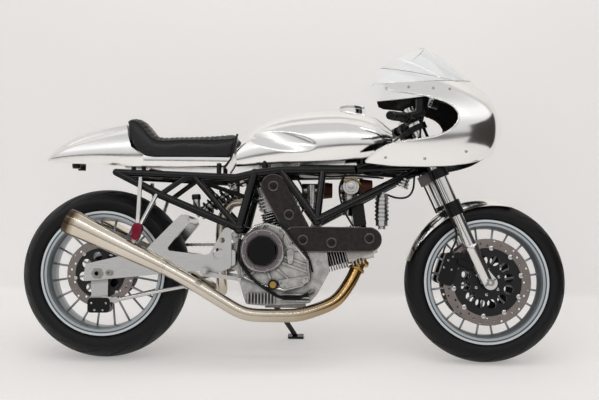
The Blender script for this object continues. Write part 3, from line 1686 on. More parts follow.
@dataclass
class Headlamp(Assembly):
    """Round headlamp: domed glass, bright ring, bowl and bulb."""

    middle: Point = (1452.0, 0.0, 872.0)
    radius: float = 74.0
    glass_share: float = 0.95
    bowl_share: float = 0.93
    bulge: float = 9.0
    glass_wall: float = 4.0
    bowl_depth: float = 72.0
    bulb: Flats = ((0.0, -14.0), (7.0, -18.0), (9.0, -30.0), (9.0, -62.0), (0.0, -62.0))

    def build(self) -> None:
        """Makes the lamp's pieces on a line that points ahead."""
        r, glass_r, bowl_r = self.radius, self.radius * self.glass_share, self.radius * self.bowl_share
        share = np.linspace(0.0, 1.0, 14)
        dome = [(glass_r * s, 23.0 - self.bulge * s * s) for s in share]
        back = [(glass_r * s, 23.0 - self.glass_wall - self.bulge * s * s) for s in share[::-1]]
        bowl = [(bowl_r * s, -66.0 + self.bowl_depth * s * s) for s in share]
        skin = [(bowl_r * s + 1.5, -69.0 + self.bowl_depth * s * s) for s in share[::-1]]
        ring = [(bowl_r, 8.0), (glass_r, 16.0), (r, 18.0), (r + 1.4, 12.0), (r + 1.4, 2.0), (bowl_r, 2.0)]
        for part, profile, sides, finish, slot, nodes in (
            ("glass", dome + back, 72, "lens", "lens", ("headlamp",)),
            ("bowl", bowl + skin, 72, "panel", "polished", ()),
            ("ring", ring + ring[:1], 72, "machined", "silver", ()),
            ("bulb", self.bulb, 20, "white", "lens", ()),
        ):
            mesh = turned(self.middle, (1.0, 0.0, 0.0), profile, sides)
            self.lay(f"headlamp_{part}", mesh, finish, slot, stands_for=nodes)


@dataclass
class Fasteners(Assembly):
    """Button-head screws, bolts and bobbins laid out in rows and rings."""

    sides: int = 12
    side_case: Flats = (
        (519, 420), (550, 464), (573, 488), (611, 495), (663, 480), (703, 430), (754, 369), (758, 330),
        (604, 283), (534, 313),
    )
    case_plate: Flats = ((668, 288), (756, 306), (742, 290), (680, 275))
    left_case: Flats = ((640, 258), (742, 262), (776, 386), (700, 436), (624, 372))
    panel: Flats = (
        (1041, 996), (1121, 1003), (1211, 1001), (1272, 1000), (1039, 745), (1180, 742), (1330, 770),
    )
    rear_caliper: Flats = ((-24, 207), (29, 207), (-12, 182), (18, 182))
    front_caliper: Flats = ((1268, 404), (1296, 392), (1262, 352), (1290, 344), (1278, 378))
    cap_top: float = 958.0
    cap_ring_r: float = 34.0
    cap_screws: int = 6

    def head(self, radius: float, height: float) -> MeshArrays:
        """Button head with a sunk socket: the profile rises, rounds over and dips at the middle."""
        shares = ((1.0, -0.4), (1.0, 0.45), (0.82, 0.85), (0.5, 1.0), (0.46, 0.55), (0.0, 0.5))
        return lathe([(radius * r, height * h) for r, h in shares], self.sides)

    def screws(self, name: str, spots: Spots, size: Flat, finish: str = "machined", slot: str = "silver",
               body: Body = Body.CHASSIS) -> None:
        """Lays screws on spots.

        Args:
            name: Name of the piece.
            spots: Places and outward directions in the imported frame.
            size: Radius and height of a head in millimetres.
            finish: Key of the screws' finish.
            slot: Record slot.
            body: Body they move with.
        """
        if len(spots[0]) == 0:
            LOG.info("no place found for %s", name)
            return
        mesh = copies(self.head(size[0] * MM, size[1] * MM), frames(*spots))
        self.dress(to_object(name, *mesh), finish, slot, body)

    def ring(self, middle: Point, radius: float, count: int, hands: Sequence[float],
             phase: float) -> Spots:
        """Even places on a circle in side view, on one side or on both.

        Args:
            middle: Upright middle of the circle, its lateral place given as a size.
            radius: Circle radius.
            count: Places on the circle.
            hands: RIGHT, LEFT or both.
            phase: Turn of the first place.

        Returns:
            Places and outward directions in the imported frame.
        """
        angle = np.linspace(0.0, TAU, count, endpoint=False) + phase
        x = middle[0] + radius * np.cos(angle)
        z = middle[2] + radius * np.sin(angle)
        rows = [np.stack([x, np.full(count, hand * middle[1]), z], axis=-1) for hand in hands]
        ways = [np.tile([0.0, hand, 0.0], (count, 1)) for hand in hands]
        return self.stance.place(np.vstack(rows)), self.stance.turn(np.vstack(ways))

    def cap_ring(self) -> Spots:
        """Even places round the top of the fuel cap.

        Returns:
            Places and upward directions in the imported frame.
        """
        angle = np.linspace(0.0, TAU, self.cap_screws, endpoint=False)
        x, y = FILLER_X + self.cap_ring_r * np.cos(angle), self.cap_ring_r * np.sin(angle)
        spots = np.stack([x, y, np.full(self.cap_screws, self.cap_top)], axis=-1)
        ways = np.tile([0.0, 0.0, 1.0], (self.cap_screws, 1))
        return self.stance.place(spots), self.stance.turn(ways)

    def build(self, nodes: Dict[str, bpy.types.Object]) -> None:
        """Lays every set of screws.

        Args:
            nodes: The CAD nodes.
        """
        names = ("crankcase", "belt_covers", "fairing", "rear_caliper", "front_calipers")
        case, covers, shell, rear_caliper, calipers = (Skin(self.stance, nodes[name]) for name in names)
        front_x, _, front_z = FRONT_AXLE
        rear_x, _, rear_z = REAR_AXLE
        both = (RIGHT, LEFT)
        clutch = self.ring((598.0, 164.0, 404.0), 67.0, 8, (RIGHT,), 0.3)
        self.screws("clutch_screws", clutch, (4.6, 5.0))
        self.screws("side_case_screws", case.beside(self.side_case, RIGHT), (5.2, 5.0))
        self.screws("case_plate_screws", case.beside(self.case_plate, RIGHT), (3.2, 3.0), "steel")
        self.screws("left_case_screws", case.beside(self.left_case, LEFT), (5.2, 5.0))
        self.screws("belt_cover_screws", covers.beside(COVER_BOSSES, RIGHT), (9.0, 3.4), "anodised")
        for side, hand in HANDS:
            self.screws(f"{side}_fairing_screws", shell.beside(self.panel, hand), (5.6, 3.4))
        bobbins = self.ring((front_x, 67.0, front_z), 126.0, 10, both, 0.2)
        self.screws("front_disc_bobbins", bobbins, (9.0, 2.4), body=Body.FRONT_WHEEL)
        hub = self.ring((front_x, 66.3, front_z), 46.0, 6, both, 0.45)
        self.screws("front_hub_bolts", hub, (6.5, 5.0), body=Body.FRONT_WHEEL)
        bobbins = self.ring((rear_x, 109.5, rear_z), 92.0, 6, (RIGHT,), 0.2)
        self.screws("rear_disc_bobbins", bobbins, (6.5, 2.4), body=Body.REAR_WHEEL)
        sprocket = self.ring((rear_x, 110.0, rear_z), 40.0, 6, (LEFT,), 0.1)
        self.screws("sprocket_nuts", sprocket, (6.5, 6.0), "steel", "steel", Body.REAR_WHEEL)
        clamp = self.ring((front_x, 123.0, front_z), 19.0, 2, both, 0.6)
        self.screws("axle_clamp_bolts", clamp, (4.4, 5.0), "steel", "steel", Body.STEERING)
        self.screws("rear_caliper_bolts", rear_caliper.beside(self.rear_caliper, RIGHT), (4.6, 5.0))
        for side, hand in HANDS:
            spots = calipers.beside(self.front_caliper, hand)
            self.screws(f"{side}_caliper_bolts", spots, (4.6, 5.0), body=Body.STEERING)
        self.screws("fuel_cap_screws", self.cap_ring(), (3.6, 2.6), "steel", "steel", Body.CAP)


@dataclass
class Controls(Assembly):
    """Ribbed grips, fork feet, brake lines, dial and the spring of the shock."""

    bar_root: Point = (1145.0, -105.0, 899.1)
    bar_end: Point = (1046.0, -330.0, 872.0)
    rake_deg: float = 24.5
    leg_offset: float = 6.0
    leg_lateral: float = -105.0
    flange: Flats = ((11.4, 112.5), (19.5, 112.5), (20.0, 115.0), (19.5, 118.0), (16.0, 119.0))
    sleeve_end: Flats = ((15.0, 235.0), (11.4, 235.0))
    bar_cap: Flats = (
        (11.4, 239.5), (14.6, 239.5), (15.0, 242.0), (15.0, 260.0), (12.0, 263.0), (0.0, 263.0),
    )
    rib_mm: float = 6.0
    foot: Flats = (
        (0.0, 6.0), (23.0, 6.0), (24.4, 9.0), (24.4, 134.0), (25.4, 137.0), (25.4, 149.0), (24.0, 151.0),
        (21.5, 151.5), (21.5, 271.0), (0.0, 271.0),
    )
    arm_ends: Tuple[Tuple[float, Flat], ...] = ((95.0, (1310.1, 395.6)), (62.0, (1323.1, 373.2)))
    line_start: Point = (1284.0, -90.0, 402.0)
    line_legs: Points = (
        (210.0, 34.0, -126.0), (330.0, 30.0, -134.0), (440.0, 30.0, -136.0), (540.0, 26.0, -140.0),
        (600.0, 4.0, -150.0),
    )
    line_end: Point = (1176.0, -168.0, 900.0)
    dial_middle: Point = (1232.0, 0.0, 1004.0)
    dial_way: Point = (-0.949, 0.0, 0.316)
    bezel: Flats = ((38.0, 0.0), (38.0, 4.0), (41.0, 5.5), (44.2, 4.0), (44.2, -6.0), (44.0, 0.0))
    face: Flats = ((0.0, 1.2), (38.5, 1.2), (38.5, -0.5))
    tick: Flats = ((-0.7, 0.0), (0.7, 0.0), (0.7, 0.6), (-0.7, 0.6))
    needle: Flats = ((-1.0, 1.0), (1.0, 1.0), (0.6, 2.0), (-0.6, 2.0))
    needle_turn: float = -2.0
    tick_count: int = 27
    tick_span_deg: float = 130.0
    marks_lift: float = 1.3
    shock_low: Point = (326.0, -8.0, 526.0)
    shock_high: Point = (505.0, -8.0, 660.0)
    damper: Flats = (
        (0.0, 15.0), (9.0, 15.0), (9.0, 26.0), (27.0, 27.0), (28.5, 34.0), (18.0, 36.0), (18.0, 108.0),
        (10.0, 110.0), (10.0, 176.0), (28.5, 178.0), (28.5, 186.0), (20.0, 188.0),
    )
    damper_end: Flats = ((20.0, -22.0), (9.0, -18.0), (9.0, -15.0), (0.0, -15.0))
    coil_r: float = 24.0
    wire_r: float = 4.4
    coils: float = 7.0
    coil_low: float = 38.0
    coil_climb: float = 136.0
    coil_points: int = 340

    def leg(self, along: float, behind: float, lateral: float) -> Point:
        """Finds a point beside a fork leg.

        Args:
            along: Distance up the leg from the axle.
            behind: Distance behind the leg's middle.
            lateral: Lateral place.

        Returns:
            The upright point.
        """
        turn = math.radians(self.rake_deg)
        back = self.leg_offset + behind
        x = FRONT_AXLE[0] - math.cos(turn) * back - math.sin(turn) * along
        z = FRONT_AXLE[2] - math.sin(turn) * back + math.cos(turn) * along
        return (x, lateral, z)

    def leg_flat(self, along: float, behind: float) -> Flat:
        """Side-view place of a point beside a fork leg."""
        x, _, z = self.leg(along, behind, 0.0)
        return (x, z)

    def grips(self) -> None:
        """Turns both grips: a flange, close ribs and a separate bar end on each bar."""
        way = np.array(self.bar_end) - np.array(self.bar_root)
        along = np.linspace(120.0, 233.0, 120)
        ribs = 15.4 + 1.1 * np.abs(np.sin(along * math.pi / self.rib_mm)) ** 0.7
        sleeve = [*self.flange, *zip(ribs, along), *self.sleeve_end]
        mesh = merged([turned(self.bar_root, way, profile) for profile in (sleeve, self.bar_cap)])
        self.lay("ribbed_grips", both_sides(mesh), "grip", "rubber", Body.STEERING, ("grips",))

    def feet(self) -> None:
        """Turns both fork feet, with an axle clamp and two black arms for each caliper."""
        turn = math.radians(self.rake_deg)
        start = self.leg(0.0, 0.0, self.leg_lateral)
        foot = turned(start, (-math.sin(turn), 0.0, math.cos(turn)), self.foot, 56)
        outline = capsule(self.leg_flat(-2.0, -self.leg_offset), 25.0, self.leg_flat(34.0, 0.0), 21.0)
        feet = both_sides(merged([foot, bar_of(outline, -123.0, -84.0)]))
        self.lay("fork_feet", feet, "fork", "polished", Body.STEERING, ("fork_lowers",))
        arms = [bar_of(capsule(self.leg_flat(along, 0.0), 17.0, spot, 12.0), -98.0, -86.0)
                for along, spot in self.arm_ends]
        self.lay("caliper_arms", both_sides(merged(arms)), "anodised", "black_metal", Body.STEERING)

    def brake_lines(self) -> None:
        """Carries a brake line up behind each fork leg from the caliper to the lever's cylinder."""
        knots = [self.line_start, *(self.leg(*spot) for spot in self.line_legs), self.line_end]
        lines = both_sides(tube(smooth_path(knots, 90), 3.6, 10))
        self.lay("brake_lines", lines, "grip", "rubber", Body.STEERING)

    def dial(self) -> None:
        """Turns the dial's bezel and face and lays its marks and needle."""
        middle, way = np.array(self.dial_middle), np.array(self.dial_way)
        self.lay("dial_bezel", turned(middle, way, self.bezel, 60), "machined", "silver")
        self.lay("dial_face", turned(middle, way, self.face, 60), "dial", "black_metal")
        tick = bar_of(np.array(self.tick), 28.0, 35.0)
        needle = bar_of(np.array(self.needle), -8.0, 30.0)
        turns = np.radians(np.linspace(-self.tick_span_deg, self.tick_span_deg, self.tick_count))
        angle = np.append(turns, self.needle_turn)
        spin = np.zeros((self.tick_count + 1, 3, 4))
        spin[:, 0, 0] = spin[:, 1, 1] = np.cos(angle)
        spin[:, 1, 0] = np.sin(angle)
        spin[:, 0, 1] = -np.sin(angle)
        spin[:, 2, 2] = 1.0
        marks = merged([copies(tick, spin[:-1]), copies(needle, spin[-1:])])
        placed = copies(marks, frames(middle[None] + way * self.marks_lift, way[None]))
        self.lay("dial_marks", placed, "white", "lens", smooth=False)

    def shock(self) -> None:
        """Turns the shock's damper and winds its spring, a circle whose middle climbs round its line."""
        low = np.array(self.shock_low)
        way = np.array(self.shock_high) - low
        length = float(np.linalg.norm(way))
        damper = [*self.damper, *((r, length + h) for r, h in self.damper_end)]
        self.lay("shock_damper", turned(low, way, damper), "machined", "steel", stands_for=("rear_shock",))
        turn = np.linspace(0.0, TAU * self.coils, self.coil_points)
        climb = self.coil_low + np.linspace(0.0, self.coil_climb, self.coil_points)
        local = np.stack([self.coil_r * np.cos(turn), self.coil_r * np.sin(turn), climb], axis=-1)
        frame = frames(low[None], way[None])[0]
        spring = tube(local @ frame[:, :3].T + frame[:, 3], self.wire_r, 8)
        self.lay("shock_spring", spring, "black", "black_metal")

    def build(self) -> None:
        """Makes all the control pieces."""
        for make in (self.grips, self.feet, self.brake_lines, self.dial, self.shock):
            make()


@dataclass
class EngineDetail(Assembly):
    """Pipes, cover beads, hose, case trim, wiring, throttle parts, fins, cooler core and tail lenses."""

    header_runs: Tuple[Tuple[str, Points, float], ...] = (
        ("right", ((960, -40, 380), (926, -62, 300), (868, -100, 218), (735, -158, 172), (538, -170, 172),
                   (337, -182, 293), (250, -190, 339)), 24.0),
        ("left", ((536, 26, 600), (452, 40, 596), (424, 56, 510), (424, 62, 318), (430, 110, 232),
                  (337, 182, 286), (250, 190, 339)), 22.0),
    )
    front_belt: Tuple[Flat, Flat] = ((716.0, 447.0), (985.0, 449.0))
    rear_belt: Tuple[Flat, Flat] = ((722.0, 480.0), (634.0, 640.0))
    bead_lateral: float = -141.4
    washer: Flats = ((14.2, -1.5), (14.2, 0.5), (15.0, 1.2), (18.2, 1.2), (19.2, 0.4), (19.2, -3.0))
    washer_lateral: float = -145.0
    hose_run: Points = (
        (516, -146, 452), (511, -149, 400), (518, -150, 360), (566, -150, 301), (618, -147, 262),
        (664, -122, 236), (722, -104, 233), (772, -99, 252),
    )
    unions: Tuple[Tuple[Point, Point], ...] = (
        ((516, -146, 462), (-0.1, -0.04, -1.0)), ((780, -98, 257), (-0.85, -0.1, -0.5)),
    )
    nut: Flats = ((0.0, -4.0), (8.5, -4.0), (8.5, 8.0), (6.8, 9.0), (6.8, 16.0), (0.0, 16.0))
    port: Point = (960.0, -40.0, 380.0)
    port_way: Point = (-34.0, -22.0, -80.0)
    collar: Flats = (
        (24.2, 6.0), (35.0, 6.0), (36.0, 8.0), (36.0, 18.0), (34.0, 20.0), (24.2, 20.0), (24.2, 6.0),
    )
    clip: Flats = (
        (24.2, 40.0), (29.0, 40.0), (30.0, 42.0), (30.0, 48.0), (29.0, 50.0), (24.2, 50.0), (24.2, 40.0),
    )
    case_line: Flats = (
        (506, 424), (540, 470), (566, 498), (611, 506), (668, 490), (712, 434), (764, 373), (772, 302),
        (744, 276), (677, 259), (602, 273), (524, 307),
    )
    rib_lines: Tuple[Tuple[Flat, Flat], ...] = (
        ((681, 382), (756, 356)), ((672, 360), (758, 330)), ((654, 336), (690, 306)),
        ((566, 326), (546, 312)), ((620, 322), (628, 304)), ((592, 486), (600, 498)),
    )
    filler: Point = (638.0, -156.0, 282.0)
    filler_ring: Flats = ((12.0, -1.0), (12.0, 1.5), (17.0, 2.0), (18.4, 0.8), (18.4, -7.0))
    cable_runs: Tuple[Tuple[Points, float], ...] = (
        (((470, -66, 656), (520, -72, 688), (600, -80, 704), (691, -84, 706), (800, -86, 698),
          (915, -92, 698), (1010, -72, 692), (1090, -50, 690), (1150, -40, 702)), 5.5),
        (((490, -60, 648), (560, -84, 668), (640, -92, 686), (740, -92, 690), (840, -90, 682),
          (930, -94, 686), (1040, -66, 680)), 3.6),
        (((700, -88, 702), (738, -92, 640), (746, -100, 574), (724, -102, 520)), 3.4),
        (((900, -90, 696), (876, -94, 640), (890, -96, 566), (926, -94, 500)), 3.6),
        (((1049, -60, 621), (1090, -58, 608), (1130, -52, 612), (1152, -46, 640), (1158, -42, 690)), 3.8),
        (((556, -112, 455), (579, -128, 486), (622, -142, 514), (674, -150, 493), (708, -151, 446),
          (746, -151, 410), (768, -142, 372), (780, -112, 330)), 3.4),
    )
    tray: Flats = ((716, 692), (1040, 692), (1040, 727), (716, 727))
    box: Flats = ((788, 690), (902, 690), (902, 718), (788, 718))
    drum: Flats = (
        (0.0, -8.0), (12.0, -8.0), (12.0, 4.0), (30.0, 4.0), (31.0, 6.0), (28.0, 8.0), (31.0, 10.0),
        (30.0, 12.0), (22.0, 12.5), (21.0, 15.0), (12.0, 15.5), (11.0, 19.0), (6.0, 20.0), (5.0, 26.0),
        (0.0, 26.0),
    )
    bowl: Flats = (
        (0.0, 0.0), (24.0, 0.0), (27.0, 3.0), (27.0, 30.0), (31.5, 31.0), (31.5, 36.0), (0.0, 36.0),
    )
    bowl_feet: Points = ((915.0, -38.0, 574.0), (770.0, 40.0, 562.0))
    link: Points = ((880, -78, 684), (900, -80, 664), (924, -84, 676), (948, -82, 664), (964, -70, 640))
    bottle: Flats = ((0.0, 0.0), (9.0, 0.0), (13.5, 5.0), (13.5, 44.0), (0.0, 44.0))
    bottle_cap: Flats = (
        (0.0, 43.0), (16.0, 43.0), (16.5, 45.0), (16.5, 60.0), (15.0, 62.0), (0.0, 62.0),
    )
    fin_start: float = 123.8
    fin_step: float = 10.0
    fins: int = 8
    fin_half: Flat = (51.2, 58.2)
    fin_corner: float = 22.0
    fin_wire: float = 1.7
    core_middle: Flat = (948.0, 548.0)
    core_tilt_deg: float = -8.0
    core_folds: int = 57
    lens: Flats = ((0.0, 4.0), (5.0, 3.4), (8.5, 1.0), (9.0, -3.0), (0.0, -3.0))

    def headers(self) -> None:
        """Bends each exhaust pipe in one smooth run, in place of its node."""
        for side, run, radius in self.header_runs:
            pipe = tube(soft_run(run, 220, 150), radius, 40)
            self.lay(f"{side}_header", pipe, "pipe", "pipe", stands_for=(f"exhaust_{side}",))

    def covers(self) -> None:
        """Runs a bead round both belt covers, with a washer round each boss, and makes the hanger clamps."""
        (low, high), (foot, head) = self.front_belt, self.rear_belt
        front = capsule(low, 44.5, high, 42.5)
        rear = soft_loop(capsule(foot, 43.5, head, 43.5), 200, 2)
        rear = rear[~within(rear, capsule(low, 47.0, high, 45.0))]
        gap = int(np.argmax(np.linalg.norm(rear - np.roll(rear, 1, axis=0), axis=1)))
        loops = (np.vstack([front, front[:1]]), np.roll(rear, -gap, axis=0))
        beads = [tube(np.insert(loop, 1, self.bead_lateral, axis=1), 1.9, 8) for loop in loops]
        self.lay("belt_cover_beads", merged(beads), "bead", "black_metal")
        clamp = bar_of(capsule((152.0, 480.0), 18.0, (146.0, 452.0), 15.0), -210.0, -185.0)
        self.lay("hanger_clamps", both_sides(clamp), "crimson", "silver")
        spots = np.insert(np.array(COVER_BOSSES, float), 1, self.washer_lateral, axis=1)
        ways = np.tile([0.0, RIGHT, 0.0], (len(spots), 1))
        self.lay("belt_cover_washers", copies(lathe(self.washer, 36), frames(spots, ways)), "bead", "silver")

    def hose(self) -> None:
        """Carries the oil hose down and under the right case, between two unions."""
        self.lay("oil_hose", tube(smooth_path(self.hose_run, 110), 5.2), "grip", "rubber")
        nuts = merged([turned(start, way, self.nut, 6) for start, way in self.unions])
        self.lay("oil_hose_unions", nuts, "steel", "steel", smooth=False)

    def flanges(self) -> None:
        """Turns the gold collars where the right header leaves its port."""
        collars = merged([turned(self.port, self.port_way, profile) for profile in (self.collar, self.clip)])
        self.lay("header_collars", collars, "brass", "pipe")

    def case_trim(self) -> None:
        """Dresses the right case: a bright rim, a dark gasket line, cast ribs and a dark filler ring."""
        loop = soft_loop(self.case_line, 240, 10)
        way = unit(np.roll(loop, -1, axis=0) - np.roll(loop, 1, axis=0))
        inward = np.stack([way[:, 1], -way[:, 0]], axis=-1)
        for name, inset, lateral, radius, finish, slot in (
            ("case_rim", 5.0, -141.6, 2.8, "machined", "engine_alloy"),
            ("case_gasket", -0.4, -112.0, 2.0, "grip", "rubber"),
        ):
            flat = loop + inset * inward
            path = np.insert(np.vstack([flat, flat[:2]]), 1, lateral, axis=1)
            self.lay(name, tube(path, radius, 8), finish, slot)
        ribs = [bar_of(capsule(low, 4.5, high, 3.0), -146.5, -141.0) for low, high in self.rib_lines]
        self.lay("case_ribs", merged(ribs), "cast", "engine_alloy")
        ring = turned(self.filler, (0.0, RIGHT, 0.0), self.filler_ring)
        self.lay("filler_ring", ring, "anodised", "black_metal")

    def wiring(self) -> None:
        """Runs the looms, leads and cables that show under the tank, with the tray that they hang from."""
        runs = [tube(smooth_path(run, 90), radius, 10) for run, radius in self.cable_runs]
        self.lay("wiring_and_cables", merged(runs), "grip", "rubber")
        tray = bar_of(soft_loop(self.tray, 60, 3), -78.0, 78.0)
        self.lay("electrics_tray", tray, "anodised", "black_metal")
        box = bar_of(soft_loop(self.box, 60, 3), -92.0, -70.0)
        self.lay("ignition_box", box, "gauze", "filter")

    def throttle(self) -> None:
        """Turns the throttle drum and float bowls of the carburettors and the small bottle behind them."""
        drum = turned((919.0, -66.0, 648.0), (0.0, RIGHT, 0.0), self.drum, 48)
        self.lay("throttle_drum", drum, "machined", "silver")
        bowls = merged([turned(foot, (0.0, 0.0, 1.0), self.bowl, 32) for foot in self.bowl_feet])
        self.lay("float_bowls", bowls, "machined", "engine_alloy")
        self.lay("throttle_link", tube(smooth_path(self.link, 60), 3.4, 10), "brass", "silver")
        for name, profile, finish, slot in (
            ("fluid_bottle", self.bottle, "machined", "silver"),
            ("fluid_bottle_cap", self.bottle_cap, "anodised", "black_metal"),
        ):
            self.lay(name, turned((350.0, -98.0, 548.0), (-0.07, 0.0, 1.0), profile, 28), finish, slot)

    def fin_edges(self) -> None:
        """Lays a bright machined edge round every barrel fin: a thin wire on a rounded rectangle."""
        turn = np.linspace(0.0, TAU, 49)[:-1] + TAU / 96.0
        corner = self.fin_corner * np.stack([np.cos(turn), np.sin(turn)], axis=-1)
        flat = corner + np.sign(corner) * np.array(self.fin_half)
        loop = np.vstack([flat, flat[:2]])
        parts = []
        for end in CYLINDER_DEG:
            way = cylinder_way(end)
            square = np.array([-way[2], 0.0, way[0]])
            ring = np.array(CRANK) + loop[:, :1] * square + loop[:, 1:] * np.array([0.0, 1.0, 0.0])
            for i in range(self.fins):
                parts.append(tube(ring + way * (self.fin_start + self.fin_step * i), self.fin_wire, 8))
        self.lay("fin_edges", merged(parts), "machined", "engine_alloy")

    def cooler(self) -> None:
        """Folds the oil cooler's core: its front and back are close zigzags carried across the machine."""
        rise = np.linspace(-42.0, 42.0, self.core_folds)
        fold = 22.0 + 1.8 * (np.arange(self.core_folds) % 2)
        local = np.vstack([np.stack([fold, rise], axis=-1), np.stack([-fold, rise], axis=-1)[::-1]])
        turn = math.radians(self.core_tilt_deg)
        spun = np.stack([local[:, 0] * math.cos(turn) + local[:, 1] * math.sin(turn),
                         -local[:, 0] * math.sin(turn) + local[:, 1] * math.cos(turn)], axis=-1)
        core = bar_of(spun + np.array(self.core_middle), -78.0, 78.0)
        self.lay("cooler_core", core, "steel", "steel", smooth=False)

    def lenses(self) -> None:
        """Sets a red lens in the back of each small tail lamp."""
        starts = [(-133.0, lateral, 719.0) for lateral in (-38.0, 38.0)]
        lenses = merged([turned(start, (-1.0, 0.0, 0.0), self.lens, 24) for start in starts])
        self.lay("tail_lenses", lenses, "tail_red", "red_lens")

    def build(self) -> None:
        """Makes all the engine and lamp details."""
        for make in (self.headers, self.covers, self.hose, self.flanges, self.case_trim, self.wiring,
                     self.throttle, self.fin_edges, self.cooler, self.lenses):
            make()


def aim(piece: bpy.types.Object, columns: Sequence[Any]) -> None:
    """Sets an object's axes and place and links it to the scene.

    Args:
        piece: A camera or a lamp.
        columns: Its x, y and z axes and its place.
    """
    axes = np.eye(4)
    axes[:3] = np.stack(columns, axis=-1)
    piece.matrix_world = Matrix(axes.tolist())
    bpy.context.scene.collection.objects.link(piece)


@dataclass
class Studio:
    """Pale floor and wall, soft lamps and the photograph's camera."""

    offset: Point = (0.80055, -3.19348, 0.68236)
    yaw: float = -0.022772
    pitch: float = -0.123291
    roll: float = 0.007744
    lens_mm: float = 51.666
    sensor_mm: float = 36.0
    near_y: float = -7.0
    wall_y: float = 0.85
    wall_top: float = 6.0
    half_width: float = 9.0
    bend: float = 0.04
    seen_glow: float = 0.3
    mirror_glow: float = 0.36
    sky_level: float = 0.38
    mirror_level: float = 0.88
    sky: Flats = (
        (0.0, 0.6), (0.12, 0.5), (0.17, 0.22), (0.26, 0.22), (0.33, 0.8), (0.6, 0.95), (0.72, 1.3),
        (0.85, 1.3), (1.0, 0.8),
    )
    card: Points = ((2.3, -2.3, 0.0), (2.3, 0.5, 0.0), (2.3, -2.3, 1.7), (2.3, 0.5, 1.7))

    def camera(self, stance: Stance) -> None:
        """Sets the camera from its yaw, pitch and roll beside the rear axle.

        Args:
            stance: Where the machine stands.
        """
        cy, sy = math.cos(self.yaw), math.sin(self.yaw)
        cp, sp = math.cos(self.pitch), math.sin(self.pitch)
        cr, sr = math.cos(self.roll), math.sin(self.roll)
        ahead = np.array([sy * cp, cy * cp, sp])
        right = np.array([cy, -sy, 0.0])
        up = np.cross(right, ahead)
        data = bpy.data.cameras.new("photo_camera")
        data.lens = self.lens_mm
        data.sensor_width = self.sensor_mm
        camera = bpy.data.objects.new("photo_camera", data)
        place = stance.axle + np.array(self.offset)
        aim(camera, (right * cr + up * sr, -right * sr + up * cr, -ahead, place))
        bpy.context.scene.camera = camera

    def paint(self) -> bpy.types.Material:
        """Pale paint that glows a little to the camera and in mirrors, and is clear when seen from behind.

        Returns:
            The backdrop's material.
        """
        material, tree, shader, coords = begin("pale_studio_paint")
        drift = noise(tree, coords, 1600.0, 2.0)
        colour = ramp(tree, drift, [(NOISE_LOW, linear("#e2dfdc")), (NOISE_HIGH, linear("#e8e5e3"))])
        rays = add(tree, "ShaderNodeLightPath").outputs
        seen = step(tree, "MULTIPLY", {1: self.seen_glow}, {0: rays["Is Camera Ray"]})
        mirror = step(tree, "SUBTRACT", links={0: rays["Is Glossy Ray"], 1: rays["Is Transmission Ray"]})
        glow = step(tree, "MULTIPLY_ADD", {1: self.mirror_glow}, {0: mirror, 2: seen}, use_clamp=True)
        through = step(tree, "MULTIPLY_ADD", {1: self.seen_glow}, {0: rays["Is Transmission Ray"], 2: glow})
        feed(tree, shader, Base_Color=colour, Roughness=0.8, Emission_Strength=through,
             Emission_Color=linear("#fffdfb"))
        side = add(tree, "ShaderNodeNewGeometry").outputs["Backfacing"]
        clear = add(tree, "ShaderNodeBsdfTransparent").outputs["BSDF"]
        sided = add(tree, "ShaderNodeMixShader", links={0: side, 1: shader.outputs["BSDF"], 2: clear})
        tree.links.new(sided.outputs["Shader"], tree.nodes["Material Output"].inputs["Surface"])
        return material

    def backdrop(self) -> None:
        """Lays a floor that turns up in a tight bend into a wall."""
        turn = np.linspace(0.0, math.pi / 2, 8)[1:]
        foot = self.wall_y - self.bend
        floor_y = np.linspace(self.near_y, foot, 10)
        y = np.concatenate([floor_y, foot + self.bend * np.sin(turn), np.full(4, self.wall_y)])
        wall_z = np.linspace(0.8, self.wall_top, 4)
        z = np.concatenate([np.zeros(10), self.bend * (1 - np.cos(turn)), wall_z])
        x = np.linspace(-self.half_width, self.half_width, 5)
        line = np.stack([np.zeros_like(y), y, z], axis=-1)
        grid = line[None] + x[:, None, None] * np.array([1.0, 0.0, 0.0])
        piece = to_object("pale_backdrop", grid, grid_faces(5, len(y), False, False))
        if vertices(piece.data, "normal")[:, 2].sum() < 0.0:
            piece.data.flip_normals()
        piece.data.materials.append(self.paint())

    def dark_card(self) -> None:
        """Stands a dark card ahead of the nose, which only reflections see."""
        piece = to_object("dark_card", np.array(self.card), grid_faces(2, 2, False, False))
        material, tree, shader, coords = begin("dark_card_felt")
        stops = [(NOISE_LOW, linear("#2b2725")), (NOISE_HIGH, linear("#3a3532"))]
        feed(tree, shader, Base_Color=ramp(tree, noise(tree, coords, 300.0), stops))
        piece.data.materials.append(material)
        piece.visible_camera = False
        piece.visible_diffuse = False
        piece.visible_shadow = False

    def lamp(self, name: str, place: Point, target: Point, size: Flat, watts: float,
             mirrored: bool = False) -> None:
        """Hangs one soft rectangular lamp.

        Args:
            name: Name of the lamp.
            place: Where it hangs.
            target: Where it points.
            size: Its width and height.
            watts: Its power.
            mirrored: Whether gloss shows it.
        """
        data = bpy.data.lights.new(name, "AREA")
        data.shape = "RECTANGLE"
        data.size, data.size_y = size
        data.energy = watts
        light = bpy.data.objects.new(name, data)
        ahead = unit(np.array(target, float) - np.array(place, float))
        side = unit(np.cross(ahead, np.array([0.0, 0.05, 1.0])))
        light.visible_glossy = mirrored
        aim(light, (side, np.cross(side, ahead), -ahead, place))

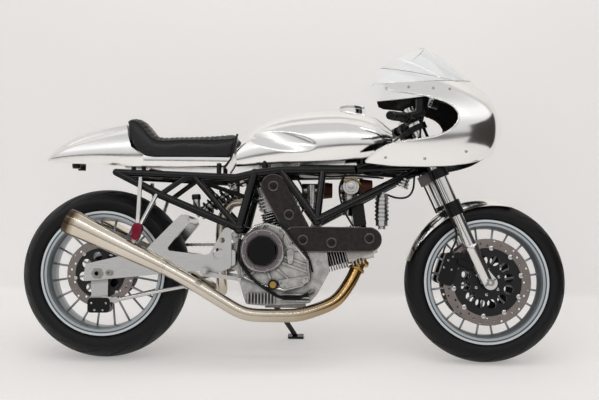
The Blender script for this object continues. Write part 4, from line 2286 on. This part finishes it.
    def light(self) -> None:
        """Lights the machine from above and the front, under a sky that is brightest overhead."""
        self.lamp("top_soft_box", (0.0, -0.6, 3.4), (0.0, 0.0, 0.4), (4.2, 2.2), 30.0)
        self.lamp("near_soft_box", (-0.6, -4.8, 1.8), (0.0, 0.2, 0.5), (4.6, 2.6), 34.0)
        self.lamp("strip_lamp", (0.0, -2.4, 3.2), (0.0, 0.0, 0.6), (5.0, 0.07), 14.0, True)
        world = bpy.data.worlds.new("studio_world")
        bpy.context.scene.world = world
        world.use_nodes = True
        tree = world.node_tree
        coords = add(tree, "ShaderNodeTexCoord").outputs["Generated"]
        height = add(tree, "ShaderNodeSeparateXYZ", links={"Vector": coords}).outputs["Z"]
        share = add(tree, "ShaderNodeMapRange", {"From Min": -0.3, "From Max": 0.9}, {"Value": height})
        sky = ramp(tree, share.outputs["Result"], [(p, (v, v, v, 1.0)) for p, v in self.sky])
        rays = add(tree, "ShaderNodeLightPath").outputs
        mirror = step(tree, "MAXIMUM", links={0: rays["Is Glossy Ray"], 1: rays["Is Transmission Ray"]})
        seen = step(tree, "MAXIMUM", links={0: rays["Is Camera Ray"], 1: mirror})
        levels = {"To Min": self.sky_level, "To Max": self.mirror_level}
        level = add(tree, "ShaderNodeMapRange", levels, {"Value": seen}).outputs["Result"]
        feed(tree, tree.nodes["Background"], Color=sky, Strength=level)

    def build(self, stance: Stance) -> None:
        """Sets the camera, the backdrop, the card and the lamps.

        Args:
            stance: Where the machine stands.
        """
        self.camera(stance)
        self.backdrop()
        self.dark_card()
        self.light()


def main() -> None:
    """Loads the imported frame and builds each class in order."""
    logging.basicConfig(level=logging.INFO)
    bpy.context.scene.view_settings.view_transform = "Standard"
    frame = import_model()
    stance = Stance.from_joints(frame["joints"])
    spots = {j["name"]: tuple(j["pos_m"]) for j in frame["joints"] if "pos_m" in j}
    finishes = make_finishes(stance, spots["front_wheel_spin"], spots["rear_wheel_spin"])
    kit = (stance, finishes)
    Studio().build(stance)
    paint_nodes(frame["nodes"], finishes)
    Tyre(*kit, "rear_tyre_tread", "rear_tyre", Body.REAR_WHEEL, REAR_AXLE, outer_r=315.0, half=90.0,
         widest_r=268.0, rim_half=69.8, repeats=15).build()
    Tyre(*kit, "front_tyre_tread", "front_tyre", Body.FRONT_WHEEL, FRONT_AXLE, outer_r=300.0, half=60.0,
         widest_r=258.0, rim_half=44.5, repeats=18).build()
    for kind in (Chain, Headlamp, Controls, EngineDetail):
        kind(*kit).build()
    Fasteners(*kit).build(frame["nodes"])
    for kind in (Tank, Fairing, Seat):
        kind(*kit).build()


if __name__ == "__main__":
    main()
